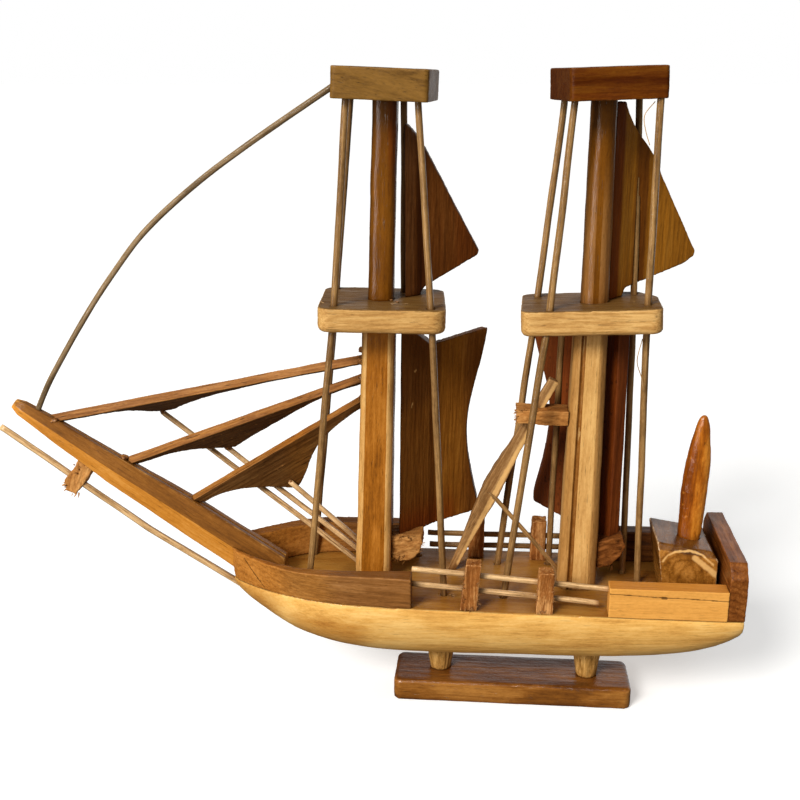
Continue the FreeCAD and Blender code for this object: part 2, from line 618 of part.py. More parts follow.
# ---------------------------------------------------------------- assembly
def build():
    parts = {}
    parts["stand_base"] = make_stand()
    parts["stand_peg_fore"] = make_peg(0)
    parts["stand_peg_aft"] = make_peg(1)

    hull = make_hull()
    for peg in ("stand_peg_fore", "stand_peg_aft"):
        hull = hull.cut(parts[peg])

    # bowsprit and what hangs on it
    bowsprit = make_bowsprit()
    bobstay = make_bobstay_rod()
    chock = make_bobstay_block().cut(bowsprit).cut(bobstay)
    hull = hull.cut(bobstay)
    parts["bobstay_rod"] = bobstay
    parts["bobstay_block"] = biggest(chock)

    # platforms and caps
    fore_platform = make_fore_platform()
    main_platform = make_main_platform()
    fore_block = make_fore_top_block()
    main_block = make_main_top_block()

    # masts: shoulders bear on the pads, round tenons go in
    lower_specs = (
        ("foremast", -57.7, -54.8, 7.5, 6.5, 3.6, fore_platform),
        ("mainmast", 22.7, 24.1, 8.0, 6.7, 3.8, main_platform),
    )
    for name, foot_x, head_x, foot_r, head_r, tenon_r, pad in lower_specs:
        spar, heel = make_lower_mast(foot_x, head_x, foot_r, head_r, tenon_r)
        spar = biggest(spar.cut(pad))
        head = Part.makeCylinder(tenon_r, 8.0, vec(head_x, 0, 148.8))
        parts[name] = spar.fuse(head).fuse(heel).removeSplitter()
        hull = hull.cut(heel)
    fore_platform = fore_platform.cut(parts["foremast"])
    main_platform = main_platform.cut(parts["mainmast"])
    top_specs = (
        ("fore_topmast", -54.4, -52.3, 5.0, 4.9, parts["foremast"], fore_block),
        ("main_topmast", 25.0, 25.2, 5.4, 4.8, parts["mainmast"], main_block),
    )
    for name, foot_x, head_x, foot_r, head_r, below, cap in top_specs:
        spar = make_topmast(foot_x, head_x, foot_r, head_r).cut(below)
        spar = biggest(spar.cut(box(foot_x - 20.0, foot_x + 20.0, -20.0, 20.0, 140.0, 157.0)))
        parts[name] = spar
    fore_platform = fore_platform.cut(parts["fore_topmast"])
    main_platform = main_platform.cut(parts["main_topmast"])
    fore_block = fore_block.cut(parts["fore_topmast"])
    main_block = main_block.cut(parts["main_topmast"])

    # shrouds run from the cap, through the pad, into the deck
    for name, line in FORE_SHROUDS.items():
        rod = straight_rod(line, SHROUD_RADIUS)
        parts[name] = rod
        fore_block = fore_block.cut(rod)
        fore_platform = fore_platform.cut(rod)
        hull = hull.cut(rod)
    for name, line in MAIN_SHROUDS.items():
        rod = straight_rod(line, SHROUD_RADIUS)
        parts[name] = rod
        main_block = main_block.cut(rod)
        main_platform = main_platform.cut(rod)
        hull = hull.cut(rod)
    fifth = straight_rod(MAIN_FIFTH_ROD, SHROUD_RADIUS)
    parts["shroud_main_inner"] = fifth
    main_platform = main_platform.cut(fifth)
    hull = hull.cut(fifth)

    # forestay cane
    cane = bent_cane(FORESTAY_LINE, STAY_RADIUS)
    parts["forestay"] = cane
    bowsprit = bowsprit.cut(cane)
    fore_block = fore_block.cut(cane)

    parts["fore_platform"] = biggest(fore_platform)
    parts["main_platform"] = biggest(main_platform)
    parts["fore_top_block"] = biggest(fore_block)
    parts["main_top_block"] = biggest(main_block)

    # bulwarks, transom, deckhouse
    rods = {}
    for name, line in RAIL_RODS.items():
        rods[name] = straight_rod(line, RAIL_RADIUS)
        parts[name] = rods[name]
    for side, word in ((-1, "port"), (1, "stbd")):
        plank = bow_plank(side).cut(bowsprit)
        for name in ("shroud_fore_port_fwd", "shroud_fore_stbd_fwd"):
            plank = plank.cut(parts[name])
        if side > 0:
            plank = plank.cut(parts["bulwark_bow_port"])
        for name in rods:
            plank = plank.cut(rods[name])
        parts["bulwark_bow_" + word] = biggest(plank)
        plank = stern_plank(side)
        for name in rods:
            plank = plank.cut(rods[name])
        parts["bulwark_stern_" + word] = biggest(plank)
    parts["transom"] = make_transom()

    post = make_ensign_post()
    house = make_deckhouse().cut(post)
    for name in ("shroud_main_port_aft", "shroud_main_stbd_aft"):
        house = house.cut(parts[name])
    parts["deckhouse"] = biggest(house)
    parts["ensign_post"] = post

    for name, spec in RAIL_POSTS.items():
        stanchion = make_rail_post(*spec)
        for rod_name in rods:
            stanchion = stanchion.cut(rods[rod_name])
        parts[name] = biggest(stanchion)

    # gaff sails and topsails
    sails = (
        ("fore_lower_sail", FORE_LOWER_PLAN, 5.0, FORE_LOWER_OUTLINE,
         ("foremast", "fore_platform", "shroud_fore_stbd_aft")),
        ("fore_topsail", FORE_TOP_PLAN, 4.0, FORE_TOP_OUTLINE,
         ("fore_topmast", "fore_platform", "fore_top_block", "shroud_fore_stbd_aft")),
        ("main_topsail", MAIN_TOP_PLAN, 4.0, MAIN_TOP_OUTLINE,
         ("main_topmast", "main_platform", "main_top_block", "shroud_main_stbd_aft")),
        ("main_lower_sail", MAIN_LOWER_PLAN, -5.0, MAIN_LOWER_OUTLINE,
         ("mainmast", "main_platform", "shroud_main_stbd_aft")),
    )
    for name, plan, thickness, outline, against in sails:
        board = folded_board(plan, thickness, outline)
        for other in against:
            board = board.cut(parts[other])
        parts[name] = biggest(board)

    # saddles carry the feet of the two lower sails
    saddle = make_fore_saddle().cut(parts["foremast"]).cut(parts["fore_lower_sail"])
    parts["fore_sail_saddle"] = biggest(saddle)
    saddle = make_main_saddle().cut(parts["mainmast"]).cut(parts["main_lower_sail"])
    parts["main_sail_saddle"] = biggest(saddle)

    # jibs and their sheets
    for name, (tack, head, clew, lower) in JIBS.items():
        board = jib_board(tack, head, clew, lower, JIB_THICKNESS)
        board = board.cut(bowsprit).cut(parts["foremast"])
        parts[name] = biggest(board)
    mast = parts["foremast"]
    for name, line in JIB_SHEETS.items():
        rod = straight_rod(line, SHEET_RADIUS)
        rod = rod.cut(mast)
        parts[name] = biggest(rod)
    for word in ("outer", "middle", "inner"):
        parts["jib_" + word] = biggest(parts["jib_" + word].cut(parts["jib_sheet_" + word]))
    parts["foremast"] = mast

    # staysail between the masts
    stay = make_staysail()
    line = straight_rod(STAYSAIL_SHEET_LINE, 0.9)
    line = biggest(line.cut(parts["mainmast"]).cut(box(-60.0, 60.0, -20.0, 20.0, 0.0, DECK_Z)))
    stay = biggest(stay.cut(line))
    bracket = make_staysail_bracket().cut(parts["mainmast"]).cut(stay)
    parts["main_staysail"] = stay
    parts["staysail_sheet"] = line
    parts["staysail_bracket"] = biggest(bracket)

    parts["bowsprit"] = biggest(bowsprit)
    parts["hull"] = biggest(hull)
    return parts


def main():
    os.makedirs("parts", exist_ok=True)
    parts = build()
    for name in sorted(parts):
        shape = parts[name]
        if not shape.isValid():
            print("not valid:", name)
        shape.exportStep("parts/" + name + ".step")
    print(len(parts), "parts written")


main()
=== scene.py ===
import math
import random

import bmesh
import bpy
from mathutils import Matrix, Vector, noise

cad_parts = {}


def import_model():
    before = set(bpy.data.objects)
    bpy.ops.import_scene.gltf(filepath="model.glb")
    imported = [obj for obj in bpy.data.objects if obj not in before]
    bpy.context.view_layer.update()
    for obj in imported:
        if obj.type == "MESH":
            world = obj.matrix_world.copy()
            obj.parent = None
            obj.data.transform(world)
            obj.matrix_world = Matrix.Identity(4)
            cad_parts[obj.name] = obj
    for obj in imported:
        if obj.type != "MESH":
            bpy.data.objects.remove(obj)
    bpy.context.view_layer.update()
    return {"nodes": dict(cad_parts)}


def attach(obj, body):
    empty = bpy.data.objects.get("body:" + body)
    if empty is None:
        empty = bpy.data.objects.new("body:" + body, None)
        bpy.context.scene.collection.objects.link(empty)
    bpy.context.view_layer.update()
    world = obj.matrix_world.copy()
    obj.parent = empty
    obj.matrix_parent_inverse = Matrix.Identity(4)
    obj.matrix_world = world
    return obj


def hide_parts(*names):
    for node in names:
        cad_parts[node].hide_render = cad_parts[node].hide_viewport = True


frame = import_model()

# Looks for the hand-made wooden sailing ship.  Metres; +X aft, +Y to starboard, +Z up.
MM = 0.001
NODES = frame["nodes"]
collection = bpy.context.scene.collection


# ---------------------------------------------------------------- colours and node helpers
def srgb(r, g, b):
    # 0 to 255 display values to linear light
    out = []
    for c in (r, g, b):
        c = c / 255.0
        out.append(c / 12.92 if c <= 0.04045 else ((c + 0.055) / 1.055) ** 2.4)
    return (out[0], out[1], out[2], 1.0)


class Graph:
    """Short names for making shader nodes."""

    def __init__(self, material):
        self.tree = material.node_tree

    def node(self, kind, **settings):
        made = self.tree.nodes.new(kind)
        for key, value in settings.items():
            setattr(made, key, value)
        return made

    def put(self, node, values):
        for key, value in values.items():
            node.inputs[key].default_value = value

    def link(self, source, target):
        if isinstance(source, bpy.types.NodeSocket):
            self.tree.links.new(source, target)
        else:
            target.default_value = source

    def math(self, operation, a, b=0.0, clamp=False):
        made = self.node("ShaderNodeMath", operation=operation, use_clamp=clamp)
        self.link(a, made.inputs[0])
        self.link(b, made.inputs[1])
        return made.outputs[0]

    def plus(self, a, b):
        return self.math("ADD", a, b)

    def times(self, a, b):
        return self.math("MULTIPLY", a, b)

    def swing(self, value, amount, middle=0.5):
        # how far a value is from its middle, times an amount
        return self.times(self.math("SUBTRACT", value, middle), amount)

    def vector_math(self, operation, a, b):
        made = self.node("ShaderNodeVectorMath", operation=operation)
        self.link(a, made.inputs[0])
        self.link(b, made.inputs[1])
        return made.outputs[0]

    def attribute(self, name, output="Fac"):
        return self.node("ShaderNodeAttribute", attribute_name=name).outputs[output]

    def noise(self, vector, stretch, detail=2.0, rough=0.5, colour=False):
        # stretch is how many noise cells there are in each unit of x, y and z
        made = self.node("ShaderNodeTexNoise")
        self.link(self.vector_math("MULTIPLY", vector, stretch), made.inputs["Vector"])
        self.put(made, {"Scale": 1.0, "Detail": detail, "Roughness": rough})
        return made.outputs["Color" if colour else "Fac"]

    def layer(self, vector, kind):
        # noise with its middle range spread over 0 to 1
        stretch, detail, rough, (low, high) = kind
        return self.span(self.noise(vector, stretch, detail, rough), low, high)

    def ramp(self, factor, stops):
        made = self.node("ShaderNodeValToRGB")
        elements = made.color_ramp.elements
        while len(elements) < len(stops):
            elements.new(0.5)
        for element, (place, colour) in zip(elements, stops):
            element.position = place
            if isinstance(colour, (int, float)):
                colour = (colour, colour, colour, 1.0)
            element.color = colour
        self.link(factor, made.inputs[0])
        return made.outputs[0]

    def tones(self, depth, colours):
        # pale, middle and dark display colours along the depth
        return self.ramp(depth, tuple(zip(TONE_STOPS, (srgb(*colour) for colour in colours))))

    def span(self, value, low, high, to_low=0.0, to_high=1.0):
        made = self.node("ShaderNodeMapRange", interpolation_type="SMOOTHSTEP")
        self.link(value, made.inputs["Value"])
        self.put(made, {"From Min": low, "From Max": high, "To Min": to_low, "To Max": to_high})
        return made.outputs["Result"]

    def mix(self, factor, a, b, blend="MIX"):
        made = self.node("ShaderNodeMix", data_type="RGBA", blend_type=blend)
        self.link(factor, made.inputs[0])
        self.link(a, made.inputs[6])
        self.link(b, made.inputs[7])
        return made.outputs[2]

    def gained(self, colour, gains):
        return self.mix(1.0, colour, (*gains, 1.0), "MULTIPLY")

    def relief(self, height, strength, distance):
        made = self.node("ShaderNodeBump")
        self.put(made, {"Strength": strength, "Distance": distance})
        self.link(height, made.inputs["Height"])
        return made.outputs[0]


def shader(name):
    material = bpy.data.materials.new(name)
    material.use_nodes = True
    graph = Graph(material)
    principled = material.node_tree.nodes["Principled BSDF"]
    return material, graph, principled


# ---------------------------------------------------------------- the wood material
# noise in the plank's frame: cells per mm, detail, roughness, and the range that is kept
FINE_STREAKS = ((0.07, 1.15, 1.15), 6.0, 0.8, (0.32, 0.68))
BROAD_STREAKS = ((0.012, 0.30, 0.30), 3.0, 0.5, (0.34, 0.66))
MOTTLE = ((0.55, 1.3, 1.3), 4.0, 0.75, (0.32, 0.68))
CLOUDS = ((0.03, 0.09, 0.09), 3.0, 0.6, (0.34, 0.66))
PORES = ((0.16, 1.9, 1.9), 2.0, 0.6, (0.62, 0.71))
# how much each layer darkens the wood, as parts of its fibre or blotch
FINE_PART = 0.8
BROAD_PART = 0.22
CLOUD_PART = 0.7
MOTTLE_DEPTH = 0.16
MEAN_DEPTH = 0.42
TONE_STOPS = (0.0, 0.45, 1.0)
# growth rings: one ring from pale early wood through dark late wood, and how far noise bends it
RING_PROFILE = ((0.0, 0.30), (0.35, 0.0), (0.72, 0.45), (0.9, 1.0), (1.0, 0.30))
RING_MIDDLE = 0.35
RING_BEND_CELLS = (0.012, 0.06, 0.06)
RING_BEND_MM = 6.0
RING_UNEVEN_CELLS = (0.01, 0.25, 0.25)
RING_UNEVEN = 1.6
ZONE_EDGE_CELLS = (0.06, 0.6, 0.6)
# pale edges by the pointiness of the mesh (rubbing, and on some woods a painted highlight), and painted
# shade in hollows and corners by the pointiness and the room in front of the surface
RUB_CELLS = (260.0, 260.0, 260.0)
RUB_NOISE = 0.07
RUBBED_AND_LIT_EDGE = (0.52, 0.57)
SHADED_HOLLOW = (0.485, 0.44)
OPEN_ROOM = (0.25, 0.90)
SHADE_REACH = 7.0 * MM
HOLLOW_SHADE_GAINS = (0.34, 0.23, 0.13)
PORE_TONE = 0.5
SCORE_TONE = 0.6
RAW_WOOD_AND_HIGHLIGHT = (232, 182, 112)
RAW_AND_HIGHLIGHT_STRENGTH = 0.8
LOOKS_UP = (0.30, 0.70)
NO_GAIN = (1.0, 1.0, 1.0)
SHEEN = 0.10
COAT_ROUGHNESS = 0.16
FINE_SHINE = 0.14
CLOUD_SHINE = 0.12
BEAD_CELLS = (0.7, 1.1, 1.1)
BUMP_DISTANCE = 0.12 * MM


def before(start, end):
    # a zone's range that is full up to start and gone by end, in millimetres
    return (-999, -998, start, end)


def after(start, end):
    return (start, end, 999, 1000)


def between(g, place, ranges, edge_noise):
    """1 inside a block of the ship.  ranges: axis -> (rise start, rise end, fall start, fall end) in mm."""
    axes = g.node("ShaderNodeSeparateXYZ")
    g.link(place, axes.inputs[0])
    inside = None
    for axis, (rise_start, rise_end, fall_start, fall_end) in ranges.items():
        blur = g.swing(edge_noise, max(1.0, rise_end - rise_start) * MM)
        here = g.plus(axes.outputs[axis], blur)
        rise = g.span(here, rise_start * MM, rise_end * MM)
        fall = g.span(here, fall_start * MM, fall_end * MM, 1.0, 0.0)
        both = g.times(rise, fall)
        inside = both if inside is None else g.times(inside, both)
    return inside


def growth_rings(g, grain, spacing, warp):
    bend = g.noise(grain, RING_BEND_CELLS, 3.0, 0.55, colour=True)
    bend = g.vector_math("SUBTRACT", bend, (0.5, 0.5, 0.5))
    bend = g.vector_math("MULTIPLY", bend, (0.0, RING_BEND_MM * warp, RING_BEND_MM * warp))
    across = g.vector_math("MULTIPLY", g.vector_math("ADD", grain, bend), (0.0, 1.0, 1.0))
    length = g.node("ShaderNodeVectorMath", operation="LENGTH")
    g.link(across, length.inputs[0])
    count = g.math("DIVIDE", length.outputs["Value"], spacing)
    count = g.plus(count, g.times(g.noise(grain, RING_UNEVEN_CELLS), RING_UNEVEN))
    return g.ramp(g.math("FRACT", count), RING_PROFILE)


def stains_and_shade(g, colour, place, grain, zones):
    # zones paint stains, and in some places painted shade and shadow
    edge_noise = g.noise(grain, ZONE_EDGE_CELLS, 4.0, 0.65)
    for ranges, gains, strength in zones:
        amount = g.times(between(g, place, ranges, edge_noise), strength)
        colour = g.mix(amount, colour, g.gained(colour, gains))
    return colour


def shade_by_facing(g, colour, start, end, low_gain, high_gain):
    # painted shade and light: one gain on surfaces that look down and another on those that look up
    facing = g.node("ShaderNodeSeparateXYZ")
    g.link(g.node("ShaderNodeNewGeometry").outputs["Normal"], facing.inputs[0])
    above = g.span(facing.outputs[2], start, end)
    gains = g.mix(above, (*low_gain, 1.0), (*high_gain, 1.0))
    return g.mix(1.0, colour, gains, "MULTIPLY")


def wear_highlight_and_shade(g, colour, rub_noise, wear_and_highlight, lighter, hollow_shade):
    # edges are rubbed pale, on some woods as a painted highlight, and corners and hollows are darkened as
    # painted shade
    point = g.node("ShaderNodeNewGeometry").outputs["Pointiness"]
    rub = g.plus(point, g.swing(rub_noise, RUB_NOISE))
    colour = g.mix(g.times(g.span(rub, *RUBBED_AND_LIT_EDGE), wear_and_highlight), colour, srgb(*lighter))
    # painted shade: little room in front of the surface (ambient occlusion) darkens the colour
    room = g.node("ShaderNodeAmbientOcclusion", samples=4)
    room.inputs["Distance"].default_value = SHADE_REACH
    corner = g.span(room.outputs["AO"], *OPEN_ROOM, 1.0, 0.0)
    painted_shade = g.math("MAXIMUM", corner, g.span(rub, *SHADED_HOLLOW))
    painted_shade = g.math("MULTIPLY", painted_shade, hollow_shade * 1.6, clamp=True)
    return g.mix(painted_shade, colour, g.gained(colour, HOLLOW_SHADE_GAINS))


def wood(name, pale, mid, dark, rings=(2.2, 0.5), fibre=0.6, pores=0.5, blotch=0.5, rough=0.42, coat=0.0,
         wear_and_highlight=0.25, wear_and_highlight_colour=None, hollow_shade=0.5, zones=(), bump=0.35, warp=1.0, second=None, topside_shade=None,
         facing_shade=None, shine_bumps=0.0):
    """Varnished wood with growth rings, fibres, pores, stains and worn edges, with painted highlights and
    painted shade.

    The attribute "grain" holds points in millimetres in the plank's frame: x along the grain, pith at
    y = z = 0.  "facet" is 1 where the second colours go, "score" in cracks and "raw_and_highlight" on fresh
    wood and on painted highlights.  rings is (spacing mm, contrast); zones are (ranges in ship mm, colour
    gains, strength), for stains and some painted shade.  topside_shade is the gain on faces that look up,
    a painted shade; facing_shade is (from, to, gain below, gain above) for that tilt, painted shade and
    light.
    """
    material, g, principled = shader(name)
    grain = g.attribute("grain", "Vector")
    place = g.node("ShaderNodeTexCoord").outputs["Object"]
    spacing, ring_depth = rings
    ring = growth_rings(g, grain, spacing, warp)
    fine = g.layer(grain, FINE_STREAKS)
    broad = g.layer(grain, BROAD_STREAKS)
    mottle = g.layer(grain, MOTTLE)
    cloud = g.layer(grain, CLOUDS)
    pore = g.layer(grain, PORES)

    depth = g.plus(MEAN_DEPTH, g.swing(ring, ring_depth, RING_MIDDLE))
    layers = ((fine, fibre * FINE_PART), (broad, fibre * BROAD_PART), (cloud, blotch * CLOUD_PART),
              (mottle, MOTTLE_DEPTH))
    for layer, amount in layers:
        depth = g.plus(depth, g.swing(layer, amount))
    colour = g.tones(depth, (pale, mid, dark))
    if second:
        colour = g.mix(g.attribute("facet"), colour, g.tones(depth, second))
    colour = stains_and_shade(g, colour, place, grain, zones)
    # painted shade on faces by which way they look
    if topside_shade:
        facing_shade = (*LOOKS_UP, NO_GAIN, topside_shade)
    if facing_shade:
        colour = shade_by_facing(g, colour, *facing_shade)

    colour = g.mix(g.times(pore, pores), colour, srgb(*(c * PORE_TONE for c in dark)))
    rub_noise = g.noise(place, RUB_CELLS, 4.0, 0.7)
    lighter = wear_and_highlight_colour or tuple(min(255, c * 1.06 + 12) for c in pale)
    colour = wear_highlight_and_shade(g, colour, rub_noise, wear_and_highlight, lighter, hollow_shade)
    # raw_and_highlight is fresh wood, and along the deckhouse arch a painted highlight
    colour = g.mix(g.times(g.attribute("raw_and_highlight"), RAW_AND_HIGHLIGHT_STRENGTH), colour, srgb(*RAW_WOOD_AND_HIGHLIGHT))
    colour = g.mix(g.attribute("score"), colour, srgb(*(c * SCORE_TONE for c in dark)))
    g.link(colour, principled.inputs["Base Color"])

    shine = g.plus(rough, g.swing(fine, FINE_SHINE))
    shine = g.math("ADD", shine, g.swing(cloud, CLOUD_SHINE), clamp=True)
    g.link(shine, principled.inputs["Roughness"])
    g.put(principled, {"Coat Weight": coat, "Coat Roughness": COAT_ROUGHNESS, "Specular IOR Level": SHEEN})

    height = g.plus(g.times(fine, 0.6), g.times(pore, -0.9))
    height = g.plus(height, g.times(ring, -0.3))
    height = g.plus(height, g.times(rub_noise, 0.5))
    if shine_bumps:
        height = g.plus(height, g.times(g.noise(grain, BEAD_CELLS), shine_bumps))
    relief = g.relief(height, bump, BUMP_DISTANCE)
    g.link(relief, principled.inputs["Normal"])
    g.link(relief, principled.inputs["Coat Normal"])
    return material


GLUE_CLOUDS = ((700.0, 700.0, 700.0), 4.0, 0.6, (0.35, 0.65))


def glue_material():
    """Hardened brown glue: cloudy and glossy."""
    material, g, principled = shader("hard_glue")
    cloud = g.layer(g.node("ShaderNodeTexCoord").outputs["Object"], GLUE_CLOUDS)
    g.link(g.mix(cloud, srgb(168, 112, 54), srgb(92, 48, 16)), principled.inputs["Base Color"])
    g.link(g.plus(0.22, g.times(cloud, 0.25)), principled.inputs["Roughness"])
    g.link(g.relief(cloud, 0.4, 0.2 * MM), principled.inputs["Normal"])
    return material


# ---------------------------------------------------------------- geometry helpers
def show(mesh, name, material, node=None, body="ship"):
    piece = bpy.data.objects.new(name, mesh)
    collection.objects.link(piece)
    mesh.materials.clear()
    mesh.materials.append(material)
    for polygon in mesh.polygons:
        polygon.use_smooth = True
    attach(piece, body)
    if node:
        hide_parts(node)
    return piece


def made_mesh(bm, name):
    mesh = bpy.data.meshes.new(name)
    bm.to_mesh(mesh)
    bm.free()
    return mesh


def tube(bm, rings, cap_order=-1):
    # four-sided faces from each ring to the next, and a cap at both ends; gives the faces of the sides.
    # cap_order is 1 or -1: the direction in which the first cap takes its corners
    size = len(rings[0])
    faces = []
    for low, high in zip(rings[:-1], rings[1:]):
        for i in range(size):
            faces.append(bm.faces.new((low[i], low[(i + 1) % size], high[(i + 1) % size], high[i])))
    bm.faces.new(rings[0][::cap_order])
    bm.faces.new(rings[-1])
    return faces


def set_grain(mesh, along, pith):
    # writes each vertex in millimetres in the plank's frame: x along the grain, y and z off the pith
    x_axis = Vector(along).normalized()
    helper = Vector((0, 0, 1)) if abs(x_axis.z) < 0.8 else Vector((0, 1, 0))
    y_axis = helper.cross(x_axis).normalized()
    z_axis = x_axis.cross(y_axis)
    frame_rows = Matrix((x_axis, y_axis, z_axis))
    origin = Vector(pith) * MM
    layer = mesh.attributes.new("grain", "FLOAT_VECTOR", "POINT")
    values = []
    for vertex in mesh.vertices:
        p = frame_rows @ (vertex.co - origin) / MM
        values.extend((p.x, p.y, p.z))
    layer.data.foreach_set("vector", values)


def carving_clouds(size):
    made = bpy.data.textures.new("carving_clouds", "CLOUDS")
    made.noise_scale = size * MM
    made.noise_depth = 2
    return made


def near_line(point, route):
    # distance in the ship's side view from a point to a polyline of (x, z) millimetres
    best = 1e9
    p = Vector((point.x / MM, point.z / MM))
    for a, b in zip(route[:-1], route[1:]):
        a = Vector(a)
        b = Vector(b)
        t = max(0.0, min(1.0, (p - a).dot(b - a) / (b - a).length_squared))
        best = min(best, (p - a.lerp(b, t)).length)
    return best


def add_marks(mesh, marks):
    """Cracks, cuts and painted highlights on the port side: (attribute, route in x and z, half width, depth)
    in millimetres.
    """
    for name in ("score", "raw_and_highlight"):
        lines = [mark for mark in marks if mark[0] == name]
        if not lines:
            continue
        values = [0.0] * len(mesh.vertices)
        for _, route, half_width, depth in lines:
            for vertex in mesh.vertices:
                if vertex.normal.y > -0.25:
                    continue
                wander = min(half_width * 0.5, 0.25) * noise.noise(vertex.co * 900.0)
                away = near_line(vertex.co, route) + wander
                if away < half_width:
                    strength = 1.0 - (away / half_width) ** 2
                    values[vertex.index] = max(values[vertex.index], min(1.0, strength * 1.6))
                    vertex.co -= vertex.normal * depth * strength * MM
        mesh.attributes.new(name, "FLOAT", "POINT").data.foreach_set("value", values)


# fibre relief: noise cells per millimetre along and across the grain
WIDE_FIBRES = (0.05, 0.9)
NARROW_FIBRES = (0.12, 2.2)
TEARS = (0.35, 1.5)


def grain_noise(point, cells, shift=0.0):
    along, across = cells
    return noise.noise((point.x * along, point.y * across, point.z * across + shift))


def add_relief(mesh, amount, torn):
    """Raises the fibres: ripples that run with the grain, and deeper tears where torn is above 0."""
    grain = [item.vector.copy() for item in mesh.attributes["grain"].data]
    moves = []
    for vertex, g in zip(mesh.vertices, grain):
        ripple = grain_noise(g, WIDE_FIBRES) * amount + grain_noise(g, NARROW_FIBRES) * amount * 0.6
        if torn:
            ripple -= max(0.0, grain_noise(g, TEARS, 9.0)) * torn
        moves.append(vertex.normal * ripple * MM)
    for vertex, move in zip(mesh.vertices, moves):
        vertex.co += move


def carve(node, voxel, rounds, chop, chop_size, slot, material, along, pith, relief=0.05, torn=0.0, marks=()):
    """A hand-worked copy of a CAD solid: edges rounded over, faces left slightly wavy by the knife."""
    body = "stand" if node == "stand_base" else "ship"
    mesh = NODES[node].data.copy()
    tidy = bmesh.new()
    tidy.from_mesh(mesh)
    bmesh.ops.remove_doubles(tidy, verts=tidy.verts, dist=1e-6)
    tidy.to_mesh(mesh)
    tidy.free()
    rough = bpy.data.objects.new("rough_" + node, mesh)
    collection.objects.link(rough)
    remesh = rough.modifiers.new("voxels", "REMESH")
    remesh.mode = "VOXEL"
    remesh.voxel_size = voxel * MM
    smooth = rough.modifiers.new("rubbed", "SMOOTH")
    smooth.factor = 0.5
    smooth.iterations = rounds
    wavy = rough.modifiers.new("wavy", "DISPLACE")
    wavy.texture = carving_clouds(chop_size)
    wavy.texture_coords = "GLOBAL"
    wavy.strength = chop * MM
    wavy.mid_level = 0.5
    graph = bpy.context.evaluated_depsgraph_get()
    carved = bpy.data.meshes.new_from_object(rough.evaluated_get(graph))
    bpy.data.objects.remove(rough)
    set_grain(carved, along, pith)
    add_relief(carved, relief, torn)
    add_marks(carved, marks)
    return show(carved, "wood_" + node, material, node, body)


def smooth_route(points, steps):
    """More points on the smooth curve through the given ones."""
    ring = [Vector(p) for p in points]
    ring = [ring[0] * 2 - ring[1]] + ring + [ring[-1] * 2 - ring[-2]]
    out = []
    for a, b, c, d in zip(ring[:-3], ring[1:-2], ring[2:-1], ring[3:]):
        for i in range(steps):
            t = i / steps
            out.append(((b * 2) + (c - a) * t + (a * 2 - b * 5 + c * 4 - d) * t * t
                        + (b * 3 - a - c * 3 + d) * t ** 3) * 0.5)
    out.append(ring[-2])
    return out


def cane(name, route, radius, material, seed, spacing=2.0, wobble=0.10, node=None):
    """A split stick along a polyline of millimetre points: uneven flats, slight waver, cut ends."""
    rng = random.Random(seed)
    points = [Vector(p) for p in route]
    stations = []
    for a, b in zip(points[:-1], points[1:]):
        steps = max(1, int((b - a).length / spacing))
        for i in range(steps):
            stations.append(a.lerp(b, i / steps))
    stations.append(points[-1])
    sides = 14
    profile = [1.0 + rng.uniform(-0.09, 0.05) for _ in range(sides)]
    start_turn = rng.uniform(0.0, 1.0)
    bm = bmesh.new()
    layer = bm.verts.layers.float_vector.new("grain")
    rings = []
    run = 0.0
    offset = Vector((rng.uniform(20, 90), rng.uniform(-40, 40), rng.uniform(-40, 40)))
    last = None
    side_axis = None
    for index, centre in enumerate(stations):
        ahead = stations[min(index + 1, len(stations) - 1)]
        behind = stations[max(index - 1, 0)]
        tangent = (ahead - behind).normalized()
        if side_axis is None:
            guess = Vector((0, 1, 0)) if abs(tangent.y) < 0.8 else Vector((1, 0, 0))
            side_axis = guess.cross(tangent).normalized()
        side_axis = (side_axis - tangent * side_axis.dot(tangent)).normalized()
        other = tangent.cross(side_axis)
        if last is not None:
            run += (centre - last).length
        last = centre
        inner = 1.0 if 0 < index < len(stations) - 1 else 0.0
        shake = [noise.noise((run * 0.035, seed * 3.1, place)) for place in (0.2, 7.2)]
        middle = centre + (side_axis * shake[0] + other * shake[1]) * wobble * 3.0 * inner
        ring = []
        for i in range(sides):
            angle = 2.0 * math.pi * (i + start_turn) / sides + 0.004 * run
            grow = profile[i] * (1.0 + 0.05 * noise.noise((run * 0.12, i * 0.9, seed * 1.7)))
            spot = middle + (side_axis * math.cos(angle) + other * math.sin(angle)) * radius * grow
            vertex = bm.verts.new(spot * MM)
            reach = radius * 1.3
            vertex[layer] = Vector((run, math.cos(angle) * reach, math.sin(angle) * reach)) + offset
            ring.append(vertex)
        rings.append(ring)
    tube(bm, rings)
    bmesh.ops.recalc_face_normals(bm, faces=bm.faces)
    mesh = made_mesh(bm, name)
    piece = show(mesh, name, material, node)
    for polygon in mesh.polygons:
        if len(polygon.vertices) > 4:
            polygon.use_smooth = False
    return piece


def rounded_section(corners, tones, soften, parts):
    """A closed outline: every corner is cut by a short arc and every side divided.  Gives the points and
    the tone of the strip that starts at each; tones has one value for the side after each corner."""
    outline = []
    shades = []
    count = len(corners)
    for i in range(count):
        last = Vector(corners[i - 1])
        here = Vector(corners[i])
        coming = Vector(corners[(i + 1) % count])
        start = here + (last - here).normalized() * min(soften, (last - here).length * 0.3)
        end = here + (coming - here).normalized() * min(soften, (coming - here).length * 0.3)
        for t in (0.0, 0.5, 1.0):
            outline.append(start.lerp(here, t).lerp(here.lerp(end, t), t))
            shades.append(max(tones[i - 1], tones[i]))
        shades[-1] = tones[i]
        next_end = coming + (here - coming).normalized() * min(soften, (here - coming).length * 0.3)
        for j in range(1, parts):
            outline.append(end.lerp(next_end, j / parts))
            shades.append(tones[i])
    return outline, shades


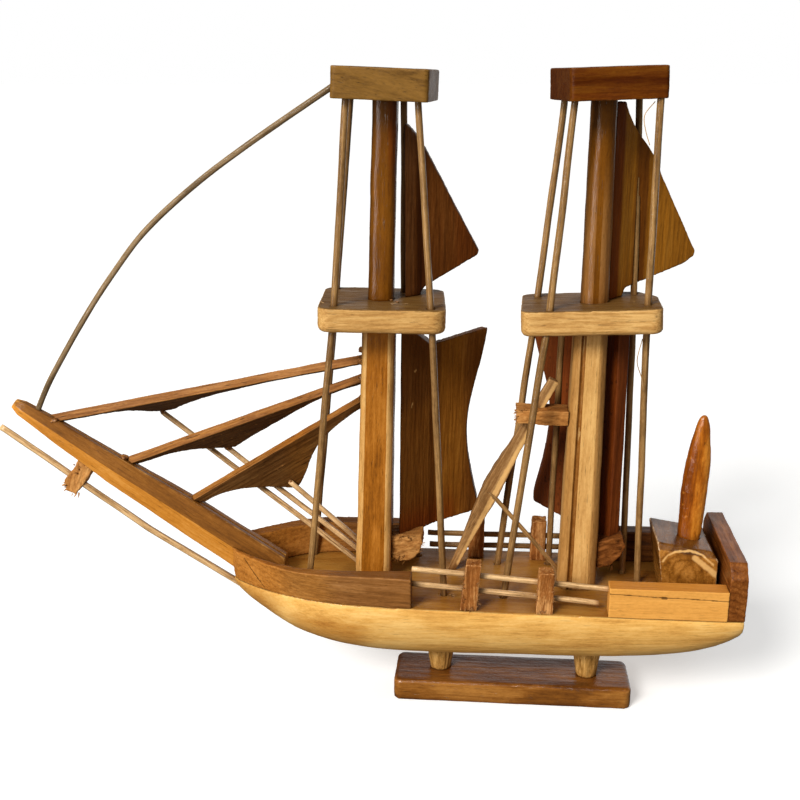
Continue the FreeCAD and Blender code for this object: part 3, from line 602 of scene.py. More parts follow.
def spar(node, stations, corners, tones, soften, material, pith, seed, waver=0.12, step=1.6, side=None,
         cuts=(), fade=None):
    """A planed stick.  stations are (centre, half width, half depth) in millimetres; corners are the
    section in units of those halves, each followed by a side with its tone; cuts are planes (point,
    outward normal) that saw the ends; fade is a height in millimetres over which the tones die out."""
    outline, shades = rounded_section(corners, tones, soften, 4)
    axis = (Vector(stations[-1][0]) - Vector(stations[0][0])).normalized()
    u_axis = Vector(side) if side else Vector((1, 0, 0))
    u_axis = (u_axis - axis * u_axis.dot(axis)).normalized()
    v_axis = axis.cross(u_axis)
    bm = bmesh.new()
    rings = []
    run = 0.0
    for (a, wa, da), (b, wb, db) in zip(stations[:-1], stations[1:]):
        span_length = (Vector(b) - Vector(a)).length
        steps = max(1, int(span_length / step))
        last = 1 if b == stations[-1][0] else 0
        for i in range(steps + last):
            t = i / steps
            middle = Vector(a).lerp(Vector(b), t)
            half_u = wa + (wb - wa) * t
            half_v = da + (db - da) * t
            along = run + span_length * t
            ring = []
            for k, q in enumerate(outline):
                face = round(math.atan2(q.y, q.x) * 4.0 / math.pi)
                wave = noise.noise((along * 0.055, face * 5.3, seed * 2.7)) * waver * 2.0
                nick = noise.noise((along * 0.45, k * 0.33, seed * 1.3)) * waver * 0.5
                grow = 1.0 + (wave + nick) / max(half_u, half_v)
                spot = middle + (u_axis * q.x * half_u + v_axis * q.y * half_v) * grow
                ring.append(bm.verts.new(spot * MM))
            rings.append(ring)
        run += span_length
    layer = bm.faces.layers.float.new("facet")
    for number, face in enumerate(tube(bm, rings, cap_order=1)):
        face[layer] = shades[number % len(shades)]
        if fade:
            height = face.verts[0].co.z / MM
            face[layer] *= max(0.0, min(1.0, (fade[1] - height) / (fade[1] - fade[0])))
    bmesh.ops.recalc_face_normals(bm, faces=bm.faces)
    for point, normal in cuts:
        saw_off(bm, point, normal)
    mesh = made_mesh(bm, "spar_" + node)
    set_grain(mesh, axis, pith)
    piece = show(mesh, "spar_" + node, material, node)
    shade_flat_ends(mesh)
    return piece


def saw_off(bm, point, normal):
    # cuts away what lies beyond a plane and closes the cut
    geometry = bm.verts[:] + bm.edges[:] + bm.faces[:]
    cut = bmesh.ops.bisect_plane(
        bm, geom=geometry, dist=1e-7, plane_co=Vector(point) * MM, plane_no=Vector(normal), clear_outer=True
    )
    rim = [e for e in cut["geom_cut"] if isinstance(e, bmesh.types.BMEdge)]
    bmesh.ops.holes_fill(bm, edges=rim, sides=0)


def shade_flat_ends(mesh):
    for polygon in mesh.polygons:
        if len(polygon.vertices) > 8:
            polygon.use_smooth = False


# place along a sliver, and its thickness there
SLIVER = ((-0.3, 1.0), (0.25, 0.9), (0.65, 0.6), (1.0, 0.12))


def tufts(name, spots, length, width, material, seed):
    """Torn fibres: thin curved slivers.  spots are (place, direction, count, spread) in millimetres."""
    rng = random.Random(seed)
    bm = bmesh.new()
    grain = bm.verts.layers.float_vector.new("grain")
    for place, direction, count, spread in spots:
        for _ in range(count):
            root = Vector(place) + Vector([rng.uniform(-1, 1) * reach for reach in spread])
            lean = Vector([rng.uniform(-0.45, 0.45) for _ in range(3)])
            way = (Vector(direction).normalized() + lean).normalized()
            side = way.cross(Vector([rng.uniform(-1, 1) for _ in range(3)])).normalized()
            other = way.cross(side)
            curl = side * rng.uniform(-0.35, 0.35)
            reach = length * rng.uniform(0.45, 1.2)
            rings = []
            for t, thick in SLIVER:
                middle = root + way * reach * t + curl * reach * max(0.0, t) ** 2
                ring = []
                for k in range(3):
                    angle = 2.0 * math.pi * k / 3
                    off = (side * math.cos(angle) + other * math.sin(angle) * 0.5) * width * thick
                    vertex = bm.verts.new((middle + off) * MM)
                    vertex[grain] = Vector((reach * t, off.x * 2.0 + place[0], off.y * 2.0 + place[2]))
                    ring.append(vertex)
                rings.append(ring)
            tube(bm, rings)
    bmesh.ops.recalc_face_normals(bm, faces=bm.faces)
    return show(made_mesh(bm, name), name, material)


def lump(name, places, radius, squash, material, seed):
    """Small uneven beads of hardened glue, all in one piece."""
    rng = random.Random(seed)
    bm = bmesh.new()
    for place in places:
        size = radius * rng.uniform(0.7, 1.25)
        made = bmesh.ops.create_icosphere(bm, subdivisions=3, radius=size * MM)
        shift = Vector(place) * MM
        for vertex in made["verts"]:
            co = vertex.co / MM
            grow = 1.0 + 0.35 * noise.noise(co * 1.1 + Vector((seed, place[0], place[2])))
            co = Vector((co.x * grow, co.y * grow, co.z * squash * grow))
            vertex.co = co * MM + shift
    return show(made_mesh(bm, name), name, material)


# ---------------------------------------------------------------- materials of the ship
# colours are (pale, middle, dark) as seen in daylight
# the gains on faces that look up are painted shade, and some zones below paint shade and shadow as well as
# stains
HULL = wood(
    "hull_varnish", (254, 204, 122), (236, 178, 92), (182, 118, 46), rings=(3.4, 0.12), fibre=0.45,
    pores=0.25, blotch=0.55, rough=0.36, coat=0.15, topside_shade=(0.44, 0.35, 0.22), hollow_shade=0.35, zones=(
        ({"X": before(-100, -88)}, (0.62, 0.5, 0.36), 0.75),
        ({"X": (-92, -84, -64, -54), "Z": (20, 27, 38, 44)}, (0.7, 0.54, 0.32), 0.75),
        # painted shadow on the aft deck beside the mainmast
        ({"X": after(34, 42), "Z": (46, 47, 60, 61), "Y": after(-20, -14)}, (0.52, 0.44, 0.36), 0.85),
    ),
)
BOW = wood(
    "bow_plank_varnish", (192, 132, 66), (166, 108, 46), (112, 66, 22), rings=(3.0, 0.18), fibre=0.6,
    pores=0.5, blotch=0.35, topside_shade=(0.66, 0.6, 0.54), hollow_shade=0.35, zones=(
        ({"X": before(-96, -84)}, (1.15, 1.05, 0.8), 0.9),
        ({"X": after(-78, -66)}, (0.62, 0.61, 0.78), 0.9),
        ({"X": (-73, -69, -60, -56), "Z": (53, 54.5, 57, 58.5)}, (1.6, 1.8, 2.2), 0.6),
    ),
)
STERN_PLANK = wood(
    "stern_plank_varnish", (248, 182, 94), (230, 162, 76), (180, 118, 46), rings=(4.0, 0.1), fibre=0.32,
    pores=0.3, blotch=0.25, topside_shade=(0.74, 0.62, 0.46), hollow_shade=0.35
)
TRANSOM = wood(
    "transom_stain", (160, 98, 44), (118, 64, 20), (70, 32, 7), rings=(2.6, 0.35), fibre=0.5, coat=0.2,
    rough=0.34
)
STERN_INNER = wood(
    "inner_plank_stain", (112, 66, 26), (78, 40, 10), (44, 20, 4), rings=(2.6, 0.5), fibre=0.5
)
HOUSE = wood(
    "deckhouse_end_grain", (184, 124, 54), (134, 82, 24), (78, 40, 8), rings=(3.2, 0.3), fibre=0.35,
    # the gain on faces that look up is painted shade on the roof, and the whitish rubbed edges are a painted
    # highlight along the rounded top edge
    blotch=0.8, warp=1.4, coat=0.5, rough=0.3, topside_shade=(0.48, 0.44, 0.4), shine_bumps=0.8,
    wear_and_highlight_colour=(226, 190, 146), wear_and_highlight=1.0
)
POST = wood(
    "ensign_post_varnish", (212, 134, 44), (170, 92, 14), (104, 48, 4), rings=(3.0, 0.15), fibre=0.6,
    blotch=0.9, coat=0.8, rough=0.28, shine_bumps=3.0, zones=(
        # painted shade on the forward side of the post
        ({"X": before(64.5, 66.5)}, (0.58, 0.46, 0.5), 0.7),
    ),
)
BOWSPRIT = wood(
    "bowsprit_varnish", (220, 154, 72), (194, 124, 40), (142, 84, 20), rings=(2.4, 0.2), fibre=0.35,
    # the pale rubbed edge colour here is a painted highlight along the ridges between the facets
    blotch=0.3, coat=0.3, second=((160, 104, 44), (122, 74, 24), (74, 40, 8)), hollow_shade=0.35, wear_and_highlight=0.7,
    wear_and_highlight_colour=(226, 166, 86), zones=(
        ({"X": before(-196, -188)}, (1.25, 1.3, 1.4), 0.7),
    ),
)
OFFCUT = wood(
    "raw_offcut", (214, 156, 90), (176, 116, 56), (116, 66, 24), rings=(1.6, 0.15), fibre=0.6, pores=0.3,
    rough=0.75, bump=0.5, hollow_shade=0.6
)
CHOPPED = {"rings": (1.8, 0.1), "fibre": 0.5, "pores": 0.2, "rough": 0.8, "bump": 0.5, "hollow_shade": 0.7}
SADDLE = wood("raw_saddle", (194, 140, 78), (154, 100, 46), (92, 50, 16), **CHOPPED)
AFT_SADDLE = wood("stained_saddle", (142, 84, 34), (98, 52, 14), (58, 24, 5), **CHOPPED)
FOREMAST = wood(
    "foremast_varnish", (188, 120, 44), (156, 92, 22), (100, 54, 8), rings=(2.6, 0.15), fibre=0.6,
    blotch=0.6, coat=0.25, rough=0.3, second=((232, 182, 112), (206, 154, 86), (150, 98, 42))
)
MAINMAST = wood(
    "mainmast_varnish", (238, 190, 118), (210, 158, 90), (158, 106, 46), rings=(3.0, 0.1), fibre=0.4,
    blotch=0.3, coat=0.15, rough=0.34, second=((178, 122, 60), (134, 82, 28), (84, 44, 10))
)
TOPMAST = wood(
    "topmast_varnish", (138, 84, 20), (112, 64, 4), (78, 38, 1), rings=(3.0, 0.15), fibre=0.35, blotch=0.3,
    coat=0.7, rough=0.3, shine_bumps=3.0, second=((164, 116, 62), (140, 92, 42), (104, 62, 20)), zones=(
        ({"X": (-52, -50, 0, 1), "Z": after(195, 215)}, (0.82, 0.55, 0.45), 0.9),
    ),
)
PLATFORM = wood(
    "platform_wood", (222, 176, 108), (192, 142, 78), (132, 88, 40), rings=(2.6, 0.15), fibre=0.75,
    pores=0.4, blotch=0.4, topside_shade=(0.3, 0.27, 0.22), bump=0.5, hollow_shade=0.4
)
FORE_TOP = wood(
    "fore_top_varnish", (142, 102, 46), (120, 84, 34), (66, 40, 10), rings=(5.2, 0.3), fibre=0.45,
    pores=0.5, blotch=0.2, topside_shade=(0.72, 0.7, 0.66), wear_and_highlight=0.5
)
MAIN_TOP = wood(
    "main_top_stain", (118, 68, 14), (96, 46, 4), (58, 20, 0), rings=(4.4, 0.2), fibre=0.45, pores=0.3,
    blotch=0.3, topside_shade=(0.7, 0.6, 0.55), wear_and_highlight=0.6, wear_and_highlight_colour=(134, 84, 38), hollow_shade=0.35, zones=(
        ({"X": before(12.0, 13.5)}, (0.82, 0.8, 0.95), 0.9),
        ({"X": after(12.5, 13), "Z": (238, 240, 241, 242.5)}, (0.5, 0.34, 0.2), 0.8),
        ({"X": after(12.5, 13), "Z": (232, 233, 235, 237)}, (1.2, 1.15, 0.8), 0.7),
    ),
)
DARK_EDGE = (46, 20, 6)
SAIL = {"rings": (2.6, 0.12), "fibre": 0.4, "blotch": 0.25, "pores": 0.3, "wear_and_highlight_colour": DARK_EDGE}
FORE_SAIL = wood(
    "fore_sail_stain", (150, 98, 40), (126, 76, 24), (84, 42, 8), wear_and_highlight=0.7, hollow_shade=0.35, zones=(
        ({"X": before(-38, -35), "Z": after(112, 124)}, (0.66, 0.62, 0.8), 0.9),
        # painted shade in the crease of the carved sail
        ({"X": (-37, -36, -33, -31.5)}, (0.5, 0.42, 0.4), 0.7),
        ({"X": (-36, -33, -26, -22)}, (1.15, 1.15, 0.8), 0.8),
        ({"X": after(-24, -20)}, (0.66, 0.58, 0.6), 0.8),
        ({"X": before(-30, -23), "Z": before(68, 82)}, (0.86, 0.52, 0.45), 0.9),
    ), **SAIL
)
FORE_TOP_SAIL = wood(
    "fore_topsail_stain", (124, 74, 30), (98, 52, 14), (60, 26, 4), wear_and_highlight=0.7, hollow_shade=0.35, zones=(
        ({"X": before(-43, -41.5)}, (1.25, 1.45, 2.2), 0.9),
        # painted shade in the crease of the carved sail
        ({"X": (-42, -41, -39, -37)}, (0.45, 0.38, 0.4), 0.9),
        ({"X": after(-30, -25)}, (1.2, 1.0, 0.9), 0.6),
    ), **SAIL
)
MAIN_TOP_SAIL = wood(
    "main_topsail_stain", (186, 124, 40), (160, 100, 22), (108, 58, 4), wear_and_highlight=0.7, hollow_shade=0.35, zones=(
        ({"X": before(33, 34.5)}, (0.45, 0.22, 0.2), 0.9),
        # painted shade in the crease of the carved sail
        ({"X": (38, 40, 43.5, 45)}, (0.42, 0.3, 0.3), 0.9),
    ), **SAIL
)
MAIN_SAIL = wood(
    "main_sail_stain", (128, 68, 28), (106, 50, 16), (68, 27, 5), wear_and_highlight=0.5, hollow_shade=0.3, zones=(
        ({"X": (10, 14, 20, 22), "Z": after(100, 116)}, (1.4, 1.3, 1.2), 0.7),
        ({"X": (29, 31, 34, 35)}, (1.7, 1.6, 1.2), 0.8),
    ), **SAIL
)
JIB = wood(
    "jib_wood", (182, 124, 62), (146, 92, 40), (88, 48, 14), rings=(1.6, 0.15), fibre=0.7, rough=0.5,
    # the faces of the jibs that look down take painted shade, greyed; those that look up are lighter
    blotch=0.3, pores=0.9, hollow_shade=0.4, facing_shade=(-0.3, 0.2, (0.42, 0.44, 0.5), (0.92, 0.9, 0.82)), zones=(
        ({"X": (-96, -88, -86, -78), "Z": before(108, 114)}, (1.3, 1.2, 0.8), 0.7),
        ({"X": after(-84, -76), "Z": before(98, 108)}, (0.6, 0.5, 0.4), 0.7),
    ),
)
STAYSAIL = wood("staysail_wood", (188, 144, 92), (142, 100, 56), (88, 56, 26), rings=(1.8, 0.15), fibre=0.6)
RAIL_POST = wood(
    "rail_post_wood", (212, 154, 92), (150, 90, 38), (98, 48, 14), rings=(1.5, 0.15), fibre=0.7, pores=0.4,
    rough=0.75, bump=0.6, hollow_shade=0.6, wear_and_highlight=0.6, wear_and_highlight_colour=(218, 164, 106)
)
STAND = wood(
    "stand_stain", (178, 120, 54), (138, 84, 28), (74, 38, 8), rings=(4.5, 0.1), fibre=0.45, pores=0.4,
    # the pale rubbed edge colour here is a painted highlight along the upper edges, and faces that look up
    # get painted shade
    blotch=0.8, coat=0.6, rough=0.3, shine_bumps=1.8, topside_shade=(0.62, 0.54, 0.44), wear_and_highlight=0.9,
    wear_and_highlight_colour=(206, 138, 74), bump=0.5
)
PEG = wood("peg_wood", (224, 174, 100), (184, 134, 66), (110, 72, 28), rings=(1.8, 0.4), fibre=0.8)
STICK = {"pores": 0.3, "wear_and_highlight": 0.4}
BAMBOO = wood(
    "bamboo_stick", (178, 136, 82), (130, 94, 52), (74, 48, 22), rings=(0.9, 0.2), fibre=0.8, blotch=0.4,
    coat=0.5, rough=0.34, shine_bumps=1.0, **STICK
)
PALE_BAMBOO = wood(
    "pale_bamboo_stick", (230, 190, 136), (188, 146, 96), (110, 74, 36), rings=(0.9, 0.3), fibre=1.1,
    blotch=0.5, coat=0.5, rough=0.34, shine_bumps=1.0, **STICK
)
CANE = wood(
    "grey_cane", (156, 128, 92), (118, 94, 62), (70, 52, 30), rings=(0.9, 0.2), fibre=0.8, blotch=0.5,
    coat=0.3, rough=0.4, **STICK
)
GLUE = glue_material()


# ---------------------------------------------------------------- camera, floor and light
def make_camera():
    # at the port side: turned a little toward the bow and looking slightly down
    turn = math.radians(4.93)
    down = math.radians(15.8)
    right = Vector((math.cos(turn), math.sin(turn), 0.0))
    ahead = Vector((-math.sin(turn) * math.cos(down), math.cos(turn) * math.cos(down), -math.sin(down)))
    up = right.cross(ahead)
    lens = bpy.data.cameras.new("camera")
    lens.sensor_width = 36.0
    lens.lens = 51.75
    lens.clip_start = 0.01
    lens.clip_end = 50.0
    camera = bpy.data.objects.new("camera", lens)
    collection.objects.link(camera)
    camera.matrix_world = Matrix((right, up, -ahead)).transposed().to_4x4()
    camera.location = Vector((-10.637, -423.949, 242.255)) * MM
    bpy.context.scene.camera = camera


def make_floor():
    # a wide pale sheet that reflects nothing onto the ship
    bpy.ops.mesh.primitive_grid_add(x_subdivisions=2, y_subdivisions=2, size=60.0, location=(0, 0, -0.0002))
    floor = bpy.context.object
    floor.name = "floor"
    paper, g, principled = shader("pale_floor")
    g.put(principled, {
        "Base Color": (0.90, 0.90, 0.895, 1.0), "Roughness": 0.85, "Specular IOR Level": 0.1,
        "Emission Color": (1.0, 1.0, 1.0, 1.0), "Emission Strength": 0.38,
    })
    floor.data.materials.append(paper)
    floor.visible_glossy = False
    floor.visible_diffuse = False


def make_room():
    # a room that shows white, fills the shadows softly and is dim in reflections
    world = bpy.data.worlds.new("studio")
    world.use_nodes = True
    room = world.node_tree
    rays = room.nodes.new("ShaderNodeLightPath")
    shown = room.nodes["Background"]
    shown.inputs[0].default_value = (1.0, 0.99, 0.97, 1.0)
    shown.inputs[1].default_value = 0.24
    for ray, strength in (("Is Camera Ray", 1.0), ("Is Glossy Ray", 0.06)):
        plain = room.nodes.new("ShaderNodeBackground")
        plain.inputs[0].default_value = (1.0, 1.0, 1.0, 1.0)
        plain.inputs[1].default_value = strength
        either = room.nodes.new("ShaderNodeMixShader")
        room.links.new(rays.outputs[ray], either.inputs[0])
        room.links.new(shown.outputs[0], either.inputs[1])
        room.links.new(plain.outputs[0], either.inputs[2])
        shown = either
    room.links.new(shown.outputs[0], room.nodes["World Output"].inputs[0])
    bpy.context.scene.world = world


def lamp(name, kind, energy, place, target, **settings):
    light = bpy.data.lights.new(name, kind)
    light.energy = energy
    for key, value in settings.items():
        setattr(light, key, value)
    made = bpy.data.objects.new(name, light)
    collection.objects.link(made)
    made.location = place
    made.rotation_euler = (Vector(target) - Vector(place)).to_track_quat("-Z", "Y").to_euler()


def make_stage():
    make_camera()
    make_floor()
    make_room()
    centre = (0.0, 0.0, 0.0)
    lamp("window", "SUN", 2.8, centre, (0.42, 0.72, -0.55), angle=math.radians(20.0),
         color=(1.0, 0.985, 0.955))
    # a tall narrow lamp at the bow draws the streaks on the varnish
    lamp("strip", "AREA", 3.4, (-0.62, -0.72, 0.22), (0.0, 0.0, 0.14), shape="RECTANGLE", size=0.08,
         size_y=0.7)
    # a weak wide light from behind keeps the starboard side readable
    lamp("behind", "SUN", 0.6, centre, (-0.35, -0.90, -0.12), angle=math.radians(60.0))
    # a narrow lamp overhead draws the bright lines along upper edges
    lamp("bar", "AREA", 1.6, (-0.05, -0.35, 0.95), (0.0, 0.0, 0.1), shape="RECTANGLE", size=0.9,
         size_y=0.05)
    bpy.context.scene.view_settings.view_transform = "Standard"


make_stage()

# ---------------------------------------------------------------- solid wooden pieces
STERN_CRACK = ("score", ((33.0, 58.1), (45.0, 57.6), (53.0, 57.2), (60.0, 57.3), (76.3, 56.7)), 0.20, 0.22)
STERN_KNOT = ("score", ((52.4, 57.2), (53.6, 57.1)), 0.62, 0.25)
BOW_SEAM = ("score", ((-107.5, 59.8), (-104.0, 55.6), (-99.0, 49.6)), 0.22, 0.12)
HOUSE_CUT = ("raw_and_highlight", ((65.8, 66.4), (74.8, 59.3)), 1.2, 0.25)
# a painted highlight along the rounded top edge of the deckhouse's port face, with no depth
HOUSE_ARCH_HIGHLIGHT = ("raw_and_highlight", ((54.0, 64.6), (55.6, 67.2), (58.5, 68.6), (64.0, 68.8), (68.5, 67.6), (73.0, 63.8)),
              0.38, 0.0)
STAYSAIL_STRIP = ("raw_and_highlight", ((-23.9, 51.6), (-7.6, 88.9), (12.4, 130.4)), 1.2, 0.0)
SAIL_SCRATCHES = (
    ("raw_and_highlight", ((-43.2, 117.5), (-42.8, 119.0)), 0.25, 0.1), ("raw_and_highlight", ((-42.0, 131.5), (-41.6, 132.0)), 0.3, 0.1),
)

# node: voxel mm, smoothing rounds, waviness mm, waviness size mm, slot, material, grain direction, pith,
# and then, where they differ from the usual, fibre relief mm, tear depth mm and marks
SOLIDS = {
    "stand_base": (0.6, 3, 0.3, 14, "stand_wood", STAND, (1, 0.02, 0), (0, 20, -30), 0.1),
    "stand_peg_fore": (0.35, 2, 0.3, 4, "peg_wood", PEG, (0, 0, 1), (-34, -20, 0), 0.25),
    "stand_peg_aft": (0.35, 2, 0.3, 4, "peg_wood", PEG, (0, 0, 1), (20, 30, 0), 0.25),
    "hull": (0.7, 3, 0.5, 20, "hull_wood", HULL, (1, 0.02, 0.05), (0, 30, 110), 0.06),
    "bulwark_bow_port": (0.35, 2, 0.25, 8, "bow_plank_wood", BOW, (1, 0, -0.03), (0, -10, 10), 0.12, 0,
        (BOW_SEAM,)),
    "bulwark_bow_stbd": (0.45, 2, 0.25, 8, "bow_plank_wood", BOW, (1, 0, 0.03), (0, 10, 20), 0.12),
    "bulwark_stern_port": (0.24, 2, 0.2, 8, "stern_plank_wood", STERN_PLANK, (1, 0, 0.02), (0, 20, 10),
        0.05, 0, (STERN_CRACK, STERN_KNOT)),
    "bulwark_stern_stbd": (0.45, 2, 0.2, 8, "stern_plank_wood", STERN_INNER, (1, 0, 0.02), (0, -20, 10)),
    "transom": (0.45, 3, 0.25, 9, "transom_wood", TRANSOM, (0, 1, 0.05), (70, 0, 20), 0.08),
    "deckhouse": (0.35, 14, 0.3, 8, "deckhouse_wood", HOUSE, (0.1, 1, 0.05), (64.5, 0, 58.5), 0.05, 0,
        (HOUSE_CUT, HOUSE_ARCH_HIGHLIGHT)),
    "ensign_post": (0.3, 2, 0.4, 5, "ensign_post_wood", POST, (0.03, 0, 1), (52, 12, 0), 0.08),
    "bobstay_block": (0.28, 1, 0.8, 2.5, "offcut_wood", OFFCUT, (0.3, 0.1, 1), (-190, 10, 90), 0.12, 0.2),
    "fore_platform": (0.45, 2, 0.3, 9, "platform_wood", PLATFORM, (1, 0.05, 0.01), (-50, 10, 135), 0.1),
    "main_platform": (0.45, 2, 0.3, 9, "platform_wood", PLATFORM, (1, -0.05, 0.03), (20, 0, 120), 0.1),
    "fore_top_block": (0.4, 2, 0.2, 9, "fore_top_wood", FORE_TOP, (1, 0.1, -0.17), (-50, 10, 213)),
    "main_top_block": (0.4, 2, 0.2, 9, "main_top_wood", MAIN_TOP, (1, 0.1, 0.03), (20, -10, 226), 0.08),
    "fore_lower_sail": (0.4, 4, 0.3, 14, "dark_sail_wood", FORE_SAIL, (0.04, 0, 1), (-60, 10, 0), 0.14, 0,
        SAIL_SCRATCHES),
    "fore_topsail": (0.4, 4, 0.3, 12, "dark_sail_wood", FORE_TOP_SAIL, (0.03, 0, 1), (-50, 0, 0), 0.12),
    "main_topsail": (0.4, 4, 0.3, 12, "golden_sail_wood", MAIN_TOP_SAIL, (0.03, 0, 1), (30, -5, 0), 0.12),
    "main_lower_sail": (0.4, 4, 0.3, 14, "dark_sail_wood", MAIN_SAIL, (0.05, 0, 1), (36, 0, 0), 0.12),
    "jib_outer": (0.28, 3, 0.25, 5, "jib_wood", JIB, (0.98, 0, 0.2), (-120, 10, 110), 0.12),
    "jib_middle": (0.28, 3, 0.25, 5, "jib_wood", JIB, (0.93, 0, 0.36), (-110, 10, 100), 0.12),
    "jib_inner": (0.28, 3, 0.25, 5, "jib_wood", JIB, (0.85, 0, 0.53), (-100, 20, 90), 0.12),
    "main_staysail": (0.3, 2, 0.4, 5, "staysail_wood", STAYSAIL, (0.42, -0.1, 0.9), (-20, 20, 60), 0.1, 0,
        (STAYSAIL_STRIP,)),
    "staysail_bracket": (0.28, 1, 0.7, 3, "offcut_wood", OFFCUT, (1, 0.1, 0.05), (0, 10, 110), 0.12, 0.25),
    "fore_sail_saddle": (0.28, 1, 0.9, 3, "offcut_wood", SADDLE, (1, 0.3, 0.1), (-50, 0, 50), 0.2, 0.14),
    "main_sail_saddle": (0.28, 1, 0.9, 3, "offcut_wood", AFT_SADDLE, (1, 0.3, 0.3), (30, 0, 50), 0.2, 0.14),
    "rail_post_port_fwd": (0.26, 1, 0.6, 3, "rail_post_wood", RAIL_POST, (0, 0, 1), (-25, -20, 0), 0.14,
        0.12),
    "rail_post_port_aft": (0.26, 1, 0.6, 3, "rail_post_wood", RAIL_POST, (0.1, 0, 1), (5, -20, 0), 0.14,
        0.12),
    "rail_post_stbd_fwd": (0.35, 1, 0.6, 3, "rail_post_wood", RAIL_POST, (0, 0, 1), (-25, 30, 0), 0.25),
    "rail_post_stbd_aft": (0.35, 1, 0.6, 3, "rail_post_wood", RAIL_POST, (0, 0, 1), (15, 30, 0), 0.25),
}
for node, settings in SOLIDS.items():
    carve(node, *settings)

# ---------------------------------------------------------------- masts and bowsprit
def bevelled(flat, side_tone, notch=None):
    """A square with clipped corners, and the tone of the side after each corner; side_tone is for the
    clipped corners.  notch is (place, half width, depth) of a groove in the port face."""
    corners = [(1.0, -flat), (1.0, flat), (flat, 1.0), (-flat, 1.0), (-1.0, flat), (-1.0, -flat),
               (-flat, -1.0)]
    tones = [0.0, side_tone, 0.0, side_tone, 0.0, side_tone, 0.0]
    if notch:
        place, half, deep = notch
        corners += [(place - half, -1.0), (place, -1.0 + deep), (place + half, -1.0)]
        tones[-1] = 0.35
        tones += [1.0, 1.0, 0.0]
    corners.append((flat, -1.0))
    tones.append(side_tone)
    return corners, tones


MASTS = (
    ("foremast", (-57.7, 0, 47.8), (-54.9, 0, 153.4), 6.9, 6.1, bevelled(0.76, 1.0), "foremast_wood",
     FOREMAST, 3, None),
    ("mainmast", (22.7, 0, 47.8), (24.1, 0, 153.4), 7.4, 6.2, bevelled(0.66, 0.55, (-0.46, 0.07, 0.10)),
     "mainmast_wood", MAINMAST, 5, None),
    ("fore_topmast", (-54.4, 0, 160.4), (-52.3, 0, 236.0), 4.75, 4.6, bevelled(0.60, 0.0), "topmast_wood",
     TOPMAST, 7, None),
    ("main_topmast", (25.0, 0, 160.0), (25.2, 0, 236.6), 5.2, 4.6, bevelled(0.50, 1.0), "topmast_wood",
     TOPMAST, 9, (182.0, 214.0)),
)
for node, foot, head, low, high, (section, tones), slot, material, seed, fade in MASTS:
    stations = ((foot, low, low), (head, high, high))
    pith = (foot[0] + 9.0, 16.0, 0.0)
    soften = 0.30 if material is TOPMAST else 0.12
    spar(node, stations, section, tones, soften, material, pith, seed, fade=fade)

# a six-sided spar with a groove along its top; the shoulders take the second colours
BOWSPRIT_STATIONS = (
    ((-91.0, 0, 45.4), 6.0, 7.3), ((-128.6, 0, 70.2), 5.5, 6.7), ((-160.0, 0, 90.2), 4.6, 5.4),
    ((-183.0, 0, 105.6), 3.7, 3.9), ((-197.5, 0, 115.1), 2.9, 2.7), ((-200.5, 0, 117.0), 2.0, 1.6),
)
BOWSPRIT_SECTION = (
    (-0.94, 1.0), (-1.0, -0.10), (-0.52, -1.0), (-0.10, -1.0), (-0.02, -0.88), (0.06, -1.0), (0.52, -1.0),
    (1.0, -0.10), (0.94, 1.0),
)
BOWSPRIT_TONES = (0.0, 0.9, 1.0, 1.0, 1.0, 1.0, 0.9, 0.0, 0.0)
spar("bowsprit", BOWSPRIT_STATIONS, BOWSPRIT_SECTION, BOWSPRIT_TONES, 0.07, BOWSPRIT,
     (-100, 20, 20), 11, side=(0, 1, 0), cuts=(((0, 0, 48.3), (0, 0, -1)), ((-93.4, 0, 0), (1, 0, 0))))

